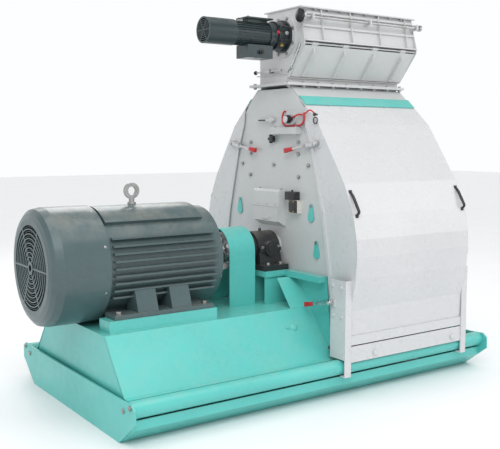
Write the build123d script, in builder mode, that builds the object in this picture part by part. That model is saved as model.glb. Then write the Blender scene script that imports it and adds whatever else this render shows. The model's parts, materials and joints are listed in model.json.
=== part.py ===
from build123d import *
import os
from math import cos, hypot, radians, sin

# Hammer mill with a roll feeder on top and its drive motor, all on one skid.
# Axes: +X from the motor to the mill, +Y to the back, +Z up. Millimetres.
# The origin is the centre of the anchor hole pattern, on the floor.

os.makedirs("parts", exist_ok=True)

# ------------------------------------------------------------ driving dimensions
SKID_END = 1300.0        # outer face of each skid end plate
SHAFT_Z = 826.0          # height of the motor and mill shaft
RUN_FIT = 0.05           # radial clearance of every turning fit
WELD_GAP = 0.2           # root gap between plates that are welded together

# skid
END_PLATE_T = 12.0
PIPE_R = 44.5
PIPE_Y = 704.0
PIPE_Z = 190.0
PIPE_WALL = 5.0
ANCHOR_X = 1150.0
ANCHOR_Y = 568.0
ANCHOR_HOLE_R = 11.0
FOOT_Y = 608.0           # outer edge of the skid on the floor

# base box under the motor
BOX_X0 = -1270.0
BOX_X1 = 96.0
DECK_Z = 496.0
DECK_Y = 390.0
SLOPE_FOOT = (612.0, 222.0)
LIP_Y = 646.0
SHEET = 6.0
RAIL_TOP = 560.0

# motor
COWL_X = (-1516.0, -1190.0)
COWL_R = 325.0
FRAME_X = (-1190.0, -500.0)
FRAME_R = 296.0
FRAME_BORE = 262.0
FIN_R = 324.0
FIN_COUNT = 9
FIN_STEP = 40.0
SHIELD_END = -395.0
MOTOR_SHAFT_R = 50.0
CORE_X = (-1080.0, -620.0)
CORE_GAP_R = 155.0
MOTOR_BOLT_X = (-1150.0, -615.0)
MOTOR_BOLT_Y = 310.0
EYE_AT = (-910.0, 0.0)

# coupling and guard
GUARD_X = (-331.0, -142.0)
GUARD_R = 145.0
GUARD_SHEET = 5.0
COUPLING_R = 118.0
MILL_SHAFT_END_R = 52.0
COUPLING_MID = -236.0

# bearings and pedestals
SHELF_Z = (665.0, 700.0)
SHELF_Y = 545.0
HOUSING_X = (-98.0, 88.0)
HOUSING_R = 108.0
BEARING_R = 55.0

# mill housing
MILL_X0 = 110.0
MILL_X1 = 1045.0
WALL_T = 12.0
CHAMBER_X = (MILL_X0 + WALL_T, MILL_X1 - WALL_T)
ROOF_Z = 1840.0
ROOF_Y = 180.0
FLANGE_Z = 1860.0
FLANGE_Y = 208.0
SHAFT_HOLE_R = 66.0
SEAM = [(297, 1724), (330, 1690), (338, 1618), (400, 1459), (508, 1050), (641, 312)]
FAR_SEAM = [(297, 1724), (330, 1690), (430, 1540), (560, 1240), (625, 1000), (655, 826), (657, 312)]
PLATE_FOOT_Z = 226.0

# rotor
DISC_R = 478.0
DISC_T = 12.0
DISC_COUNT = 5
DISC_X = (165.0, 990.0)
PIN_CIRCLE_R = 440.0
PIN_R = 15.0
PIN_ANGLES = (30.0, 120.0, 210.0, 300.0)
HAMMER_T = 8.0
HAMMER_W = 50.0
HAMMER_REACH = 120.0     # pin centre to tip
HAMMER_TAIL = 28.0
SCREEN_R = (575.0, 578.0)
LINER_R = (578.0, 586.0)
FRAME_BAND_R = (578.2, 592.0)
FRAME_RIB = 15.0
SEAL_R = 62.0

# fittings on the near end plate
LOCK_PIN = (-220.0, 1640.0)
LOCK_PIN_R = 9.0
DIVERTER_AXIS = (0.0, 1640.0)
FLAP_SHAFT_R = 9.0
HOOD_X = 50.0
HOOD_Y = (-127.0, 150.0)
LID_AXIS = (46.0, 1094.0)
LID_BARREL_R = 3.8
COVER_SEATS = ((-385.0, 1112.0), (385.0, 1112.0), (-440.0, 892.0))
COVER_NAMES = ("front", "back", "side")
COVER_LENGTH = 84.0

# doors
SKIN = [(276, 1761), (318, 1724), (448, 1609), (575, 1425), (686, 1260), (732, 1165),
        (767, 1084), (799, 943), (806, 839), (794, 713), (776, 621), (756, 528), (751, 322)]
SKIN_T = 3.0
DOOR_X = (104.0, 1051.0)
DOOR_WALL_T = 5.0
STRIP_Y = (753.0, 759.0)
ROLLER_X = (297.0, 970.0)
ROLLER_Z = 258.0
ROLLER_CORE_R = 23.2
ROLLER_FLANGE_R = 36.0
AXLE_R = 10.0

# toggle clamps of the front door: pivot, reach to the end of the grip, droop and where they sit
PIVOT_R = 8.0
CLAMPS = {
    "upper": {"pivot": (-452.0, 1492.0), "reach": 296.0, "droop": 9.0, "hook": 100.0,
              "x": 78.0, "seat_x": 104.0, "keeper_x": 110.0},
    "lower": {"pivot": (-652.0, 568.0), "reach": 226.0, "droop": 12.0, "hook": 108.0,
              "x": 32.0, "seat_x": 56.0, "keeper_x": 96.0},
}
KNOB_SEAT = (-4.0, 1520.0)

# feeder
FEED_Y = -110.0
FEED_Z = 2150.0
FEED_X = (100.0, 1060.0)
FEED_TOP = 2320.0
NECK_Y = 142.0
NECK_TOP = 1930.0
LEDGE = (-300.0, 2112.0)
GATE_AXIS = (-322.0, 2255.0)
HINGE_ROD = (-306.0, 2098.0)
NECK_AXIS = (0.0, 1945.0)


# ------------------------------------------------------------------ helpers
def front(points):
    """The same (y, z) points on the front (-Y) side."""
    return [(-y, z) for y, z in points]


def slab(outline, x0, x1, mode=Mode.ADD):
    """Extrude a closed (y, z) outline from x0 to x1."""
    with BuildSketch(Plane.YZ.offset(x0)) as face:
        with BuildLine():
            Polyline(*outline, close=True)
        make_face()
    extrude(face.sketch, amount=x1 - x0, mode=mode)


def web(outline, y0, y1, mode=Mode.ADD):
    """Extrude a closed (x, z) outline from y0 to y1."""
    with BuildSketch(Plane.XZ.offset(-y0)) as face:
        with BuildLine():
            Polyline(*outline, close=True)
        make_face()
    extrude(face.sketch, amount=y0 - y1, mode=mode)


def block(x, y, z, mode=Mode.ADD):
    """Box between (low, high) pairs along X, Y and Z."""
    with Locations(((x[0] + x[1]) / 2, (y[0] + y[1]) / 2, (z[0] + z[1]) / 2)):
        Box(x[1] - x[0], y[1] - y[0], z[1] - z[0], mode=mode)


def rod(radius, x, at=(0.0, SHAFT_Z), mode=Mode.ADD):
    """Round bar along X at the (y, z) position."""
    with BuildSketch(Plane.YZ.offset(x[0])) as face:
        with Locations(at):
            Circle(radius)
    extrude(face.sketch, amount=x[1] - x[0], mode=mode)


def tube(r_out, r_in, x, at=(0.0, SHAFT_Z)):
    """Round tube along X at the (y, z) position."""
    with BuildSketch(Plane.YZ.offset(x[0])) as face:
        with Locations(at):
            Circle(r_out)
            Circle(r_in, mode=Mode.SUBTRACT)
    extrude(face.sketch, amount=x[1] - x[0])


def cross_rod(radius, y, at, mode=Mode.ADD):
    """Round bar along Y at the (x, z) position."""
    with BuildSketch(Plane.XZ.offset(-y[0])) as face:
        with Locations(at):
            Circle(radius)
    extrude(face.sketch, amount=y[0] - y[1], mode=mode)


def post(radius, z, at, mode=Mode.ADD):
    """Round bar along Z at the (x, y) position."""
    with BuildSketch(Plane.XY.offset(z[0])) as face:
        with Locations(at):
            Circle(radius)
    extrude(face.sketch, amount=z[1] - z[0], mode=mode)


def bent(points, thickness, shift=0.0):
    """Closed outline of a bent sheet that lies to the left of the path, moved left by shift."""
    normals = []
    for (y0, z0), (y1, z1) in zip(points, points[1:]):
        length = hypot(y1 - y0, z1 - z0)
        normals.append((-(z1 - z0) / length, (y1 - y0) / length))

    def edge(distance):
        path = []
        for i, (y, z) in enumerate(points):
            a = normals[max(i - 1, 0)]
            b = normals[min(i, len(normals) - 1)]
            scale = distance / (1 + a[0] * b[0] + a[1] * b[1])
            path.append((y + (a[0] + b[0]) * scale, z + (a[1] + b[1]) * scale))
        return path

    return edge(shift) + edge(shift + thickness)[::-1]


def on_circle(radius, angle, z=SHAFT_Z):
    """(y, z) of a point on a circle round the shaft, angle from +Y towards +Z."""
    return (radius * cos(radians(angle)), z + radius * sin(radians(angle)))


def arc_band(r, start, end, x, at=(0.0, SHAFT_Z), mode=Mode.ADD):
    """Curved plate along X between two radii and two angles from +Y towards +Z."""
    low, high = r
    with BuildSketch(Plane.YZ.offset(x[0])) as face:
        with BuildLine():
            CenterArc(at, high, start, end - start)
            CenterArc(at, low, start, end - start)
            for angle in (start, end):
                c, s = cos(radians(angle)), sin(radians(angle))
                Line((at[0] + low * c, at[1] + low * s), (at[0] + high * c, at[1] + high * s))
        make_face()
    extrude(face.sketch, amount=x[1] - x[0], mode=mode)


def save(builder, label):
    """Label the finished piece and write its STEP file."""
    builder.part.label = label
    export_step(builder.part, f"parts/{label}.step")


def skin_y(z):
    """Half-width of the door skin at height z."""
    for (y0, z0), (y1, z1) in zip(SKIN, SKIN[1:]):
        if z1 <= z <= z0:
            return y0 + (y1 - y0) * (z0 - z) / (z0 - z1)
    return SKIN[-1][0]


# ------------------------------------------------------------------ skid
skid_run = (-SKID_END + END_PLATE_T + WELD_GAP, SKID_END - END_PLATE_T - WELD_GAP)

# welded skid: end plates, bent long members, cross members and the beams under the mill
with BuildPart() as skid_frame:
    slab(bent([(-536, 0), (-FOOT_Y, 0), (-716, 86), (-716, 137)], -8), *skid_run)
    for x in (-ANCHOR_X, ANCHOR_X):
        post(ANCHOR_HOLE_R, (-1, 20), (x, -ANCHOR_Y), mode=Mode.SUBTRACT)
    mirror(about=Plane.XZ)
    half = [(FOOT_Y - 4, 0), (780, 138), (778, 208), (744, 233), (640, 228)]
    for x in (-SKID_END, SKID_END - END_PLATE_T):
        slab(half + front(reversed(half)), x, x + END_PLATE_T)
    for x in (-1270, -420, 60, 1076, 1276):
        slab([(-700, 126), (-700, 94), (-604, 9), (604, 9), (700, 94), (700, 126)], x - 6, x + 6)
    for side in (-1, 1):
        block((106, 1282), sorted((side * 500, side * 600)), (126 + WELD_GAP, PLATE_FOOT_Z))
save(skid_frame, "skid_frame")

with BuildPart() as rail_pipes:
    for side in (-1, 1):
        tube(PIPE_R, PIPE_R - PIPE_WALL, skid_run, (side * PIPE_Y, PIPE_Z))
save(rail_pipes, "rail_pipes")

# base box: deck, sloped sides with a lip, end walls and the two motor bars on top
with BuildPart() as base_box:
    half = [(LIP_Y, SLOPE_FOOT[1] - 2), SLOPE_FOOT, (DECK_Y, DECK_Z)]
    profile = half + front(reversed(half))
    slab(bent(profile, SHEET), BOX_X0, BOX_X1)
    under = DECK_Z - SHEET - WELD_GAP
    inner = [(600, 216), (DECK_Y - 8, under), (-DECK_Y + 8, under), (-600, 216)]
    for x in (BOX_X0, -600, BOX_X1 - 10):
        slab([(600, 126)] + inner + [(-600, 126)], x, x + 10)
    for side in (-1, 1):
        block((-1228, -560), sorted((side * 235, side * 362)), (DECK_Z + WELD_GAP, RAIL_TOP))
save(base_box, "base_box")


# ------------------------------------------------------------------ bearing pedestals
def slope_y(z):
    """Half-width of the sloped base side carried on upwards to height z."""
    rise = (DECK_Y - SLOPE_FOOT[0]) / (DECK_Z - SLOPE_FOOT[1])
    return DECK_Y + (z - DECK_Z) * rise


with BuildPart() as bearing_pedestals:
    # near side: shelf, ribs, cross wall and the cheeks that carry on the slope of the base
    under, wall_x = SHELF_Z[0] - WELD_GAP, BOX_X1 - WELD_GAP
    block((-100, 106), (-200, 200), SHELF_Z)
    for y in (-182, -60, 60, 182):
        block((-94, wall_x), (y - 6, y + 6), (DECK_Z, under))
    half = [(604, 230), (600, 300), (SHELF_Y, under)]
    slab(half + front(reversed(half)), BOX_X1, BOX_X1 + 10)
    foot, head = slope_y(DECK_Z + 1), slope_y(under)
    for side in (-1, 1):
        block((42, 106), sorted((side * 200, side * SHELF_Y)), SHELF_Z)
        slab([(side * foot, DECK_Z + 1), (side * head, under),
              (side * (head - 8), under), (side * (foot - 8), DECK_Z + 1)], -50, wall_x)
    # far side: a box stand on the skid
    block((1062, 1262), (-200, 200), SHELF_Z)
    for y in (-188, 188):
        block((1064, 1260), (y - 6, y + 6), (135 + WELD_GAP, under))
    for x in (1064, 1160, 1250):
        block((x, x + 10), (-182 + WELD_GAP, 182 - WELD_GAP), (135 + WELD_GAP, under))
    block((1062, 1268), (-240, 240), (126, 135))
save(bearing_pedestals, "bearing_pedestals")


# ------------------------------------------------------------------ drive motor
with BuildPart() as motor_frame:
    tube(FRAME_R, FRAME_BORE, FRAME_X)
    for side in (-1, 1):
        for step in range(FIN_COUNT):
            z = SHAFT_Z + (step - (FIN_COUNT - 1) / 2) * FIN_STEP
            root = (FRAME_R**2 - (abs(z - SHAFT_Z) + 6)**2)**0.5 - 8
            tip = (FIN_R**2 - (z - SHAFT_Z)**2)**0.5
            block((FRAME_X[0] + 25, FRAME_X[1] - 25), sorted((side * root, side * tip)), (z - 5, z + 5))
    arc_band((FRAME_R - 4, FIN_R - 6), 50, 130, (FRAME_X[0] + 20, FRAME_X[1] - 60))
    arc_band((FRAME_R - 4, FIN_R - 6), 236, 304, (FRAME_X[0] + 20, FRAME_X[1] - 60))
    for side in (-1, 1):
        block((-1190, -575), sorted((side * 225, side * 350)), (RAIL_TOP, RAIL_TOP + 24))
        for x in (-985, -775):
            foot = [(side * 340, RAIL_TOP + 24), (side * 300, 700),
                    (side * 255, 700), (side * 190, RAIL_TOP + 24)]
            slab(foot, x - 62, x + 62)
    block((-960, -740), (280, 430), (880, 1060))
    block((-950, -750), (430, 444), (890, 1050))
    rod(FRAME_BORE, (-1200, -480), mode=Mode.SUBTRACT)
    for side in (-1, 1):
        for x in MOTOR_BOLT_X:
            post(14, (RAIL_TOP - 1, RAIL_TOP + 30), (x, side * MOTOR_BOLT_Y), mode=Mode.SUBTRACT)
save(motor_frame, "motor_frame")

with BuildPart() as motor_end_shields:
    with BuildSketch(Plane.XZ) as half_shield:
        with BuildLine():
            Polyline((-499.9, SHAFT_Z + 70), (-499.9, SHAFT_Z + 292), (-470, SHAFT_Z + 292),
                     (-425, SHAFT_Z + 210), (-405, SHAFT_Z + 120), (SHIELD_END, SHAFT_Z + 110),
                     (SHIELD_END, SHAFT_Z + MOTOR_SHAFT_R + RUN_FIT), (-470, SHAFT_Z + MOTOR_SHAFT_R + RUN_FIT),
                     (-470, SHAFT_Z + 70), close=True)
        make_face()
    revolve(half_shield.sketch, axis=Axis((0, 0, SHAFT_Z), (1, 0, 0)))
    with BuildSketch(Plane.XZ) as half_back:
        with BuildLine():
            Polyline((-1190.1, SHAFT_Z + MOTOR_SHAFT_R + RUN_FIT), (-1190.1, SHAFT_Z + 290), (-1200, SHAFT_Z + 290),
                     (-1214, SHAFT_Z + 120), (-1240, SHAFT_Z + 100),
                     (-1240, SHAFT_Z + MOTOR_SHAFT_R + RUN_FIT), close=True)
        make_face()
    revolve(half_back.sketch, axis=Axis((0, 0, SHAFT_Z), (1, 0, 0)))
save(motor_end_shields, "motor_end_shields")

with BuildPart() as fan_cowl:
    with BuildSketch(Plane.XZ) as half_cowl:
        with BuildLine():
            Polyline((COWL_X[1], SHAFT_Z + COWL_R), (COWL_X[0] + 70, SHAFT_Z + COWL_R),
                     (COWL_X[0] + 26, SHAFT_Z + COWL_R - 9), (COWL_X[0] + 8, SHAFT_Z + COWL_R - 32),
                     (COWL_X[0], SHAFT_Z + COWL_R - 62), (COWL_X[0], SHAFT_Z + 235),
                     (COWL_X[0] + 4, SHAFT_Z + 235), (COWL_X[0] + 4, SHAFT_Z + COWL_R - 62),
                     (COWL_X[0] + 12, SHAFT_Z + COWL_R - 36), (COWL_X[0] + 29, SHAFT_Z + COWL_R - 13),
                     (COWL_X[0] + 71, SHAFT_Z + COWL_R - 4), (COWL_X[1], SHAFT_Z + COWL_R - 4), close=True)
        make_face()
    revolve(half_cowl.sketch, axis=Axis((0, 0, SHAFT_Z), (1, 0, 0)))
    for radius in range(60, 236, 25):
        tube(radius + 3, radius - 3, (COWL_X[0], COWL_X[0] + 4))
    rod(36, (COWL_X[0] - 2, COWL_X[0] + 4))
    for angle in (0, 60, 120):
        with BuildSketch(Plane.YZ.offset(COWL_X[0])) as bar:
            with Locations((0, SHAFT_Z)):
                Rectangle(476, 9, rotation=angle)
        extrude(bar.sketch, amount=4)
    for angle in (45, 135, 225, 315):
        y, z = on_circle(COWL_R - 13, angle)
        block((COWL_X[1] - 22, COWL_X[1] - 1), (y - 10, y + 10), (z - 10, z + 10))
save(fan_cowl, "fan_cowl")

with BuildPart() as stator_core:
    tube(FRAME_BORE, CORE_GAP_R + 3, CORE_X)
    for x in ((CORE_X[0] - 70, CORE_X[0]), (CORE_X[1], CORE_X[1] + 70)):
        tube(FRAME_BORE - 20, CORE_GAP_R + 12, x)
save(stator_core, "stator_core")

# ------------------------------------------------------------------ coupling guard
with BuildPart() as coupling_guard:
    for side in (-1, 1):
        block(GUARD_X, sorted((side * GUARD_R, side * (GUARD_R - GUARD_SHEET))), (DECK_Z, SHAFT_Z))
    arc_band((GUARD_R - GUARD_SHEET, GUARD_R), 0, 180, GUARD_X)
    for side in (-1, 1):
        block(GUARD_X, sorted((side * (GUARD_R - 45), side * (GUARD_R - GUARD_SHEET))), (DECK_Z, DECK_Z + 6))
save(coupling_guard, "coupling_guard")


# ------------------------------------------------------------------ bearing housings
def bearing_housing(x0, x1):
    """Split plummer block on its foot, with end covers and a side plug."""
    mid = (x0 + x1) / 2
    block((x0, x1), (-185, 185), (SHELF_Z[1], SHELF_Z[1] + 34))
    rod(HOUSING_R, (x0 + 12, x1 - 12))
    slab([(-HOUSING_R, SHAFT_Z), (-128, SHELF_Z[1] + 34), (128, SHELF_Z[1] + 34), (HOUSING_R, SHAFT_Z)],
         x0 + 12, x1 - 12)
    block((x0 + 12, x1 - 12), (-HOUSING_R - 16, HOUSING_R + 16), (SHAFT_Z - 12, SHAFT_Z + 12))
    rod(88, (x0, x1))
    cross_rod(46, (-HOUSING_R - 26, 0), (mid, SHAFT_Z + 6))
    cross_rod(30, (-HOUSING_R - 34, 0), (mid, SHAFT_Z + 6))
    post(9, (SHAFT_Z + HOUSING_R - 6, SHAFT_Z + HOUSING_R + 16), (mid, 0))
    rod(BEARING_R + RUN_FIT, (x0 - 1, x1 + 1), mode=Mode.SUBTRACT)


with BuildPart() as bearing_housings:
    bearing_housing(*HOUSING_X)
    bearing_housing(1072, 1256)
    rod(BEARING_R + 20, (1256, 1262))
save(bearing_housings, "bearing_housings")


# ------------------------------------------------------------------ mill housing
def end_plate(seam, x0, seal_x):
    """One end wall of the mill with its shaft hole and the seal ring round the shaft."""
    half = [(ROOF_Y - 3, ROOF_Z - 5), (243, 1777)] + seam + [(seam[-1][0] - 4, PLATE_FOOT_Z)]
    slab(half + front(reversed(half)), x0, x0 + WALL_T)
    rod(SHAFT_HOLE_R, (x0 - 1, x0 + WALL_T + 1), mode=Mode.SUBTRACT)
    tube(84, SEAL_R + RUN_FIT, seal_x)


with BuildPart() as mill_end_plates:
    end_plate(SEAM, MILL_X0, (MILL_X0 - 12, MILL_X0))
    for angle in (0, 30, 150, 180):
        rod(18, (MILL_X0 - 1, MILL_X0 + WALL_T + 1), on_circle(PIN_CIRCLE_R, angle), mode=Mode.SUBTRACT)
    rod(LOCK_PIN_R + RUN_FIT, (MILL_X0 - 1, MILL_X0 + WALL_T + 1), LOCK_PIN, mode=Mode.SUBTRACT)
    end_plate(FAR_SEAM, MILL_X1 - WALL_T, (MILL_X1, MILL_X1 + 12))
    for x in (MILL_X0, MILL_X1 - WALL_T):
        rod(FLAP_SHAFT_R + RUN_FIT, (x - 1, x + WALL_T + 1), DIVERTER_AXIS, mode=Mode.SUBTRACT)
save(mill_end_plates, "mill_end_plates")

with BuildPart() as mill_roof:
    for side in (-1, 1):
        path = [(side * 150, FLANGE_Z - 4), (side * 150, ROOF_Z + 1), (side * ROOF_Y, ROOF_Z + 1),
                (side * 247, 1783), (side * 300, 1732)]
        slab(bent(path, side * -5), MILL_X0, MILL_X1)
        block((60, 1060), sorted((side * 145, side * FLANGE_Y)), (FLANGE_Z - 8, FLANGE_Z))
    for x in ((60, 112), (1028, 1060)):
        block(x, (-146, 146), (FLANGE_Z - 8, FLANGE_Z))
    for x in (85, 1045):
        for y in (-178, 178):
            post(7, (FLANGE_Z - 10, FLANGE_Z + 2), (x, y), mode=Mode.SUBTRACT)
    # sloped plates that lead the grain from the roof opening to the top liners
    for side in (-1, 1):
        slab(bent([(side * 145, FLANGE_Z - 9), (side * 145, 1820), (side * 236, 1364)], side * 5), *CHAMBER_X)
save(mill_roof, "mill_roof")

# teal guide over the top edge of each door, open at both ends
with BuildPart() as door_guides:
    for side in (-1, 1):
        slab(bent([(side * 262, 1783), (side * 323, 1729)], side * -5), MILL_X0, MILL_X1)
        slab([(side * 247.5, 1783.6), (side * 262, 1783), (side * 257, 1777.5), (side * 254, 1777.2)],
             MILL_X0, MILL_X1)
save(door_guides, "door_guides")

with BuildPart() as screens:
    for start, end in ((-78, 38), (142, 258)):
        arc_band(SCREEN_R, start, end, (CHAMBER_X[0] + 12, CHAMBER_X[1] - 12))
save(screens, "screens")

# frames that press the screens against the end plate rings
with BuildPart() as screen_frames:
    for start, end in ((-78, 38), (142, 258)):
        for x in (CHAMBER_X[0] + 12, 400, 555, 740, CHAMBER_X[1] - 27):
            arc_band(FRAME_BAND_R, start + 2.1, end - 2.1, (x, x + FRAME_RIB))
        for angle in (start, end - 2):
            arc_band(FRAME_BAND_R, angle, angle + 2, (CHAMBER_X[0] + 12, CHAMBER_X[1] - 12))
save(screen_frames, "screen_frames")

with BuildPart() as wear_liners:
    for x in (CHAMBER_X[0], CHAMBER_X[1] - 10):
        tube(572, 90, (x, x + 10))
        for angle in (0, 30, 150, 180):
            rod(18, (x - 1, x + 11), on_circle(PIN_CIRCLE_R, angle), mode=Mode.SUBTRACT)
    for start, end in ((39, 66), (114, 141)):
        arc_band(LINER_R, start, end, (CHAMBER_X[0] + 10.5, CHAMBER_X[1] - 10.5))
    arc_band(LINER_R, -101, -79, (CHAMBER_X[0] + 10.5, CHAMBER_X[1] - 10.5))
save(wear_liners, "wear_liners")

with BuildPart() as discharge_hopper:
    for side in (-1, 1):
        path = [(side * 634, 302), (side * 634, 284), (side * 480, 262), (side * 300, 60), (side * 300, 30)]
        slab(bent(path, side * 5), *CHAMBER_X)
        block((CHAMBER_X[0] - 14, CHAMBER_X[1] - 4), sorted((side * 300, side * 350)), (22, 30))
    for x in ((CHAMBER_X[0], CHAMBER_X[0] + 5), (CHAMBER_X[1] - 5, CHAMBER_X[1])):
        slab([(-300, 30), (-300, 58), (-462, 236), (462, 236), (300, 58), (300, 30)], *x)
    for x in ((CHAMBER_X[0] - 30, CHAMBER_X[0] + 5), (CHAMBER_X[1] - 5, CHAMBER_X[1] + 26)):
        block(x, (-350, 350), (22, 30))
    for x in (CHAMBER_X[0] - 14, CHAMBER_X[1] + 10):
        for y in (-325, 325):
            post(8, (20, 32), (x, y), mode=Mode.SUBTRACT)
save(discharge_hopper, "discharge_hopper")


# ------------------------------------------------------------------ rotor
def disc_stations():
    """Left face of each rotor disc."""
    pitch = (DISC_X[1] - DISC_X[0]) / (DISC_COUNT - 1)
    return [DISC_X[0] + i * pitch for i in range(DISC_COUNT)]


def hammer_stations(row):
    """Left face of each hammer on one pin: rows alternate so that they sweep the full width."""
    stations = []
    discs = disc_stations()
    for left, right in zip(discs, discs[1:]):
        gap = right - left - DISC_T
        pitch = gap / 3.5
        first = left + DISC_T + pitch * (0.5 if row % 2 == 0 else 0.9)
        stations += [first + i * pitch for i in range(3)]
    return stations


with BuildPart() as mill_shaft:
    rod(MILL_SHAFT_END_R, (COUPLING_MID + 4, -98))
    rod(BEARING_R, (-98, 1250))
    for x in ((90, 150), (1005, 1064)):
        rod(62, x)
    rod(78, (150, 1005))
save(mill_shaft, "mill_shaft")

with BuildPart() as rotor_discs:
    for x in disc_stations():
        tube(DISC_R, 78, (x, x + DISC_T))
        for angle in PIN_ANGLES:
            rod(PIN_R, (x - 1, x + DISC_T + 1), on_circle(PIN_CIRCLE_R, angle), mode=Mode.SUBTRACT)
save(rotor_discs, "rotor_discs")

with BuildPart() as hammer_pins:
    for angle in PIN_ANGLES:
        rod(PIN_R, (DISC_X[0] - 14, DISC_X[1] + DISC_T + 14), on_circle(PIN_CIRCLE_R, angle))
        for x in ((DISC_X[0] - 14, DISC_X[0]), (DISC_X[1] + DISC_T, DISC_X[1] + DISC_T + 14)):
            rod(PIN_R + 7, x, on_circle(PIN_CIRCLE_R, angle))
save(hammer_pins, "hammer_pins")

for row, angle in enumerate(PIN_ANGLES):
    pin_y, pin_z = on_circle(PIN_CIRCLE_R, angle)
    with BuildPart() as hammer_row:
        for x in hammer_stations(row):
            block((x, x + HAMMER_T), (pin_y - HAMMER_W / 2, pin_y + HAMMER_W / 2),
                  (pin_z - HAMMER_REACH, pin_z + HAMMER_TAIL))
            rod(PIN_R + 10, (x - 12, x + HAMMER_T + 12), (pin_y, pin_z))
            rod(PIN_R + RUN_FIT, (x - 13, x + HAMMER_T + 13), (pin_y, pin_z), mode=Mode.SUBTRACT)
    save(hammer_row, f"hammer_row_{row + 1}")

with BuildPart() as motor_rotor:
    rod(MOTOR_SHAFT_R, (-1470, COUPLING_MID - 4))
    rod(CORE_GAP_R, (CORE_X[0] + 2, CORE_X[1] - 2))
save(motor_rotor, "motor_rotor")

with BuildPart() as cooling_fan:
    tube(80, MOTOR_SHAFT_R, (-1440, -1350))
    for blade in range(7):
        with BuildSketch(Plane.YZ.offset(-1430)) as vane:
            with Locations((0, SHAFT_Z)):
                with PolarLocations(162, 1, start_angle=blade * 360 / 7):
                    Rectangle(172, 8)
        extrude(vane.sketch, amount=74)
    tube(250, 76, (-1356, -1350))
save(cooling_fan, "cooling_fan")

with BuildPart() as coupling_halves:
    for side, bore in ((-1, MOTOR_SHAFT_R), (1, MILL_SHAFT_END_R)):
        tube(COUPLING_R, bore, sorted((COUPLING_MID + side * 4, COUPLING_MID + side * 62)))
        tube(78, bore, sorted((COUPLING_MID + side * 62, COUPLING_MID + side * 84)))
    for step in range(8):
        y, z = on_circle(92, step * 45)
        rod(9, (COUPLING_MID - 68, COUPLING_MID + 68), (y, z))
save(coupling_halves, "coupling_halves")


# ------------------------------------------------------------------ sliding doors
def door_wall(seam, x):
    """Flat end wall of a door between the seam and the skin."""
    inner = [(y + 2, z) for y, z in seam[1:]]
    inner[-1] = (inner[-1][0], 322)
    outer = [(y - SKIN_T, z) for y, z in SKIN[2:-1]] + [(SKIN[-1][0] - SKIN_T, 322)]
    slab(front(inner + outer[::-1] + [(SKIN[1][0] - 1, SKIN[1][1] - 4)]), *x)


def handle(x):
    """Bow handle on the front door skin at the given X station."""
    low, high, out = 1080, 1216, 30
    slab(front(bent([(skin_y(high) + 0.5, high), (skin_y(high) + out, high - 22),
                     (skin_y(low) + out, low + 16), (skin_y(low) + 0.5, low)], 12)), x - 9, x + 9)


def roller(x):
    """Grooved wheel that runs on the front rail pipe."""
    y0, y1 = -PIPE_Y - 41, -PIPE_Y + 41
    with BuildSketch(Plane.YZ.offset(x)) as profile:
        with BuildLine():
            Polyline((y0, ROLLER_Z + AXLE_R + RUN_FIT), (y0, ROLLER_Z + ROLLER_FLANGE_R),
                     (y0 + 8, ROLLER_Z + ROLLER_FLANGE_R), (y0 + 14, ROLLER_Z + ROLLER_CORE_R),
                     (y1 - 14, ROLLER_Z + ROLLER_CORE_R), (y1 - 8, ROLLER_Z + ROLLER_FLANGE_R),
                     (y1, ROLLER_Z + ROLLER_FLANGE_R), (y1, ROLLER_Z + AXLE_R + RUN_FIT), close=True)
        make_face()
    revolve(profile.sketch, axis=Axis((x, 0, ROLLER_Z), (0, 1, 0)))


def clamp_point(clamp, along, side):
    """(y, z) of a point on a toggle clamp, from its pivot along the arm and across it."""
    slope = radians(clamp["droop"])
    return (clamp["pivot"][0] + cos(slope) * along + sin(slope) * side,
            clamp["pivot"][1] - sin(slope) * along + cos(slope) * side)


def clamp_lever(clamp):
    """Hook, arm and grip of a toggle clamp on the front door, pointing to the middle."""
    x, reach, hook = clamp["x"], clamp["reach"], clamp["hook"]

    def bar(start, end, wide, narrow, depth, mode=Mode.ADD):
        slab([clamp_point(clamp, start, -wide), clamp_point(clamp, start, wide),
              clamp_point(clamp, end, narrow), clamp_point(clamp, end, -narrow)], *depth, mode=mode)

    bar(-18, hook + 16, 15, 13, (x, x + 8))
    bar(20, reach - 60, 9, 5, (x - 6, x))
    bar(reach - 66, reach, 10, 13, (x - 12, x + 6))
    rod(17, (x - 6, x + 12), clamp["pivot"])
    rod(PIVOT_R + RUN_FIT, (x - 20, x + 20), clamp["pivot"], mode=Mode.SUBTRACT)
    slab([clamp_point(clamp, hook - 7.5, -7.5), clamp_point(clamp, hook + 7.5, -7.5),
          clamp_point(clamp, hook + 7.5, 30), clamp_point(clamp, hook - 7.5, 30)], x - 13, x + 9, mode=Mode.SUBTRACT)


def save_both(builder, label):
    """Write the front piece and its mirror image for the back."""
    save(builder, f"front_{label}")
    with BuildPart() as twin:
        mirror(builder.part, about=Plane.XZ)
    save(twin, f"back_{label}")


with BuildPart() as door_shell:
    slab(front(bent(SKIN, -SKIN_T)), *DOOR_X)
    door_wall([(y - 8, z) for y, z in SEAM], (DOOR_X[0], DOOR_X[0] + DOOR_WALL_T))
    door_wall(FAR_SEAM, (DOOR_X[1] - DOOR_WALL_T, DOOR_X[1]))
    block(DOOR_X, (-SKIN[-1][0], -668), (322, 327))
save_both(door_shell, "door_shell")

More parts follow.
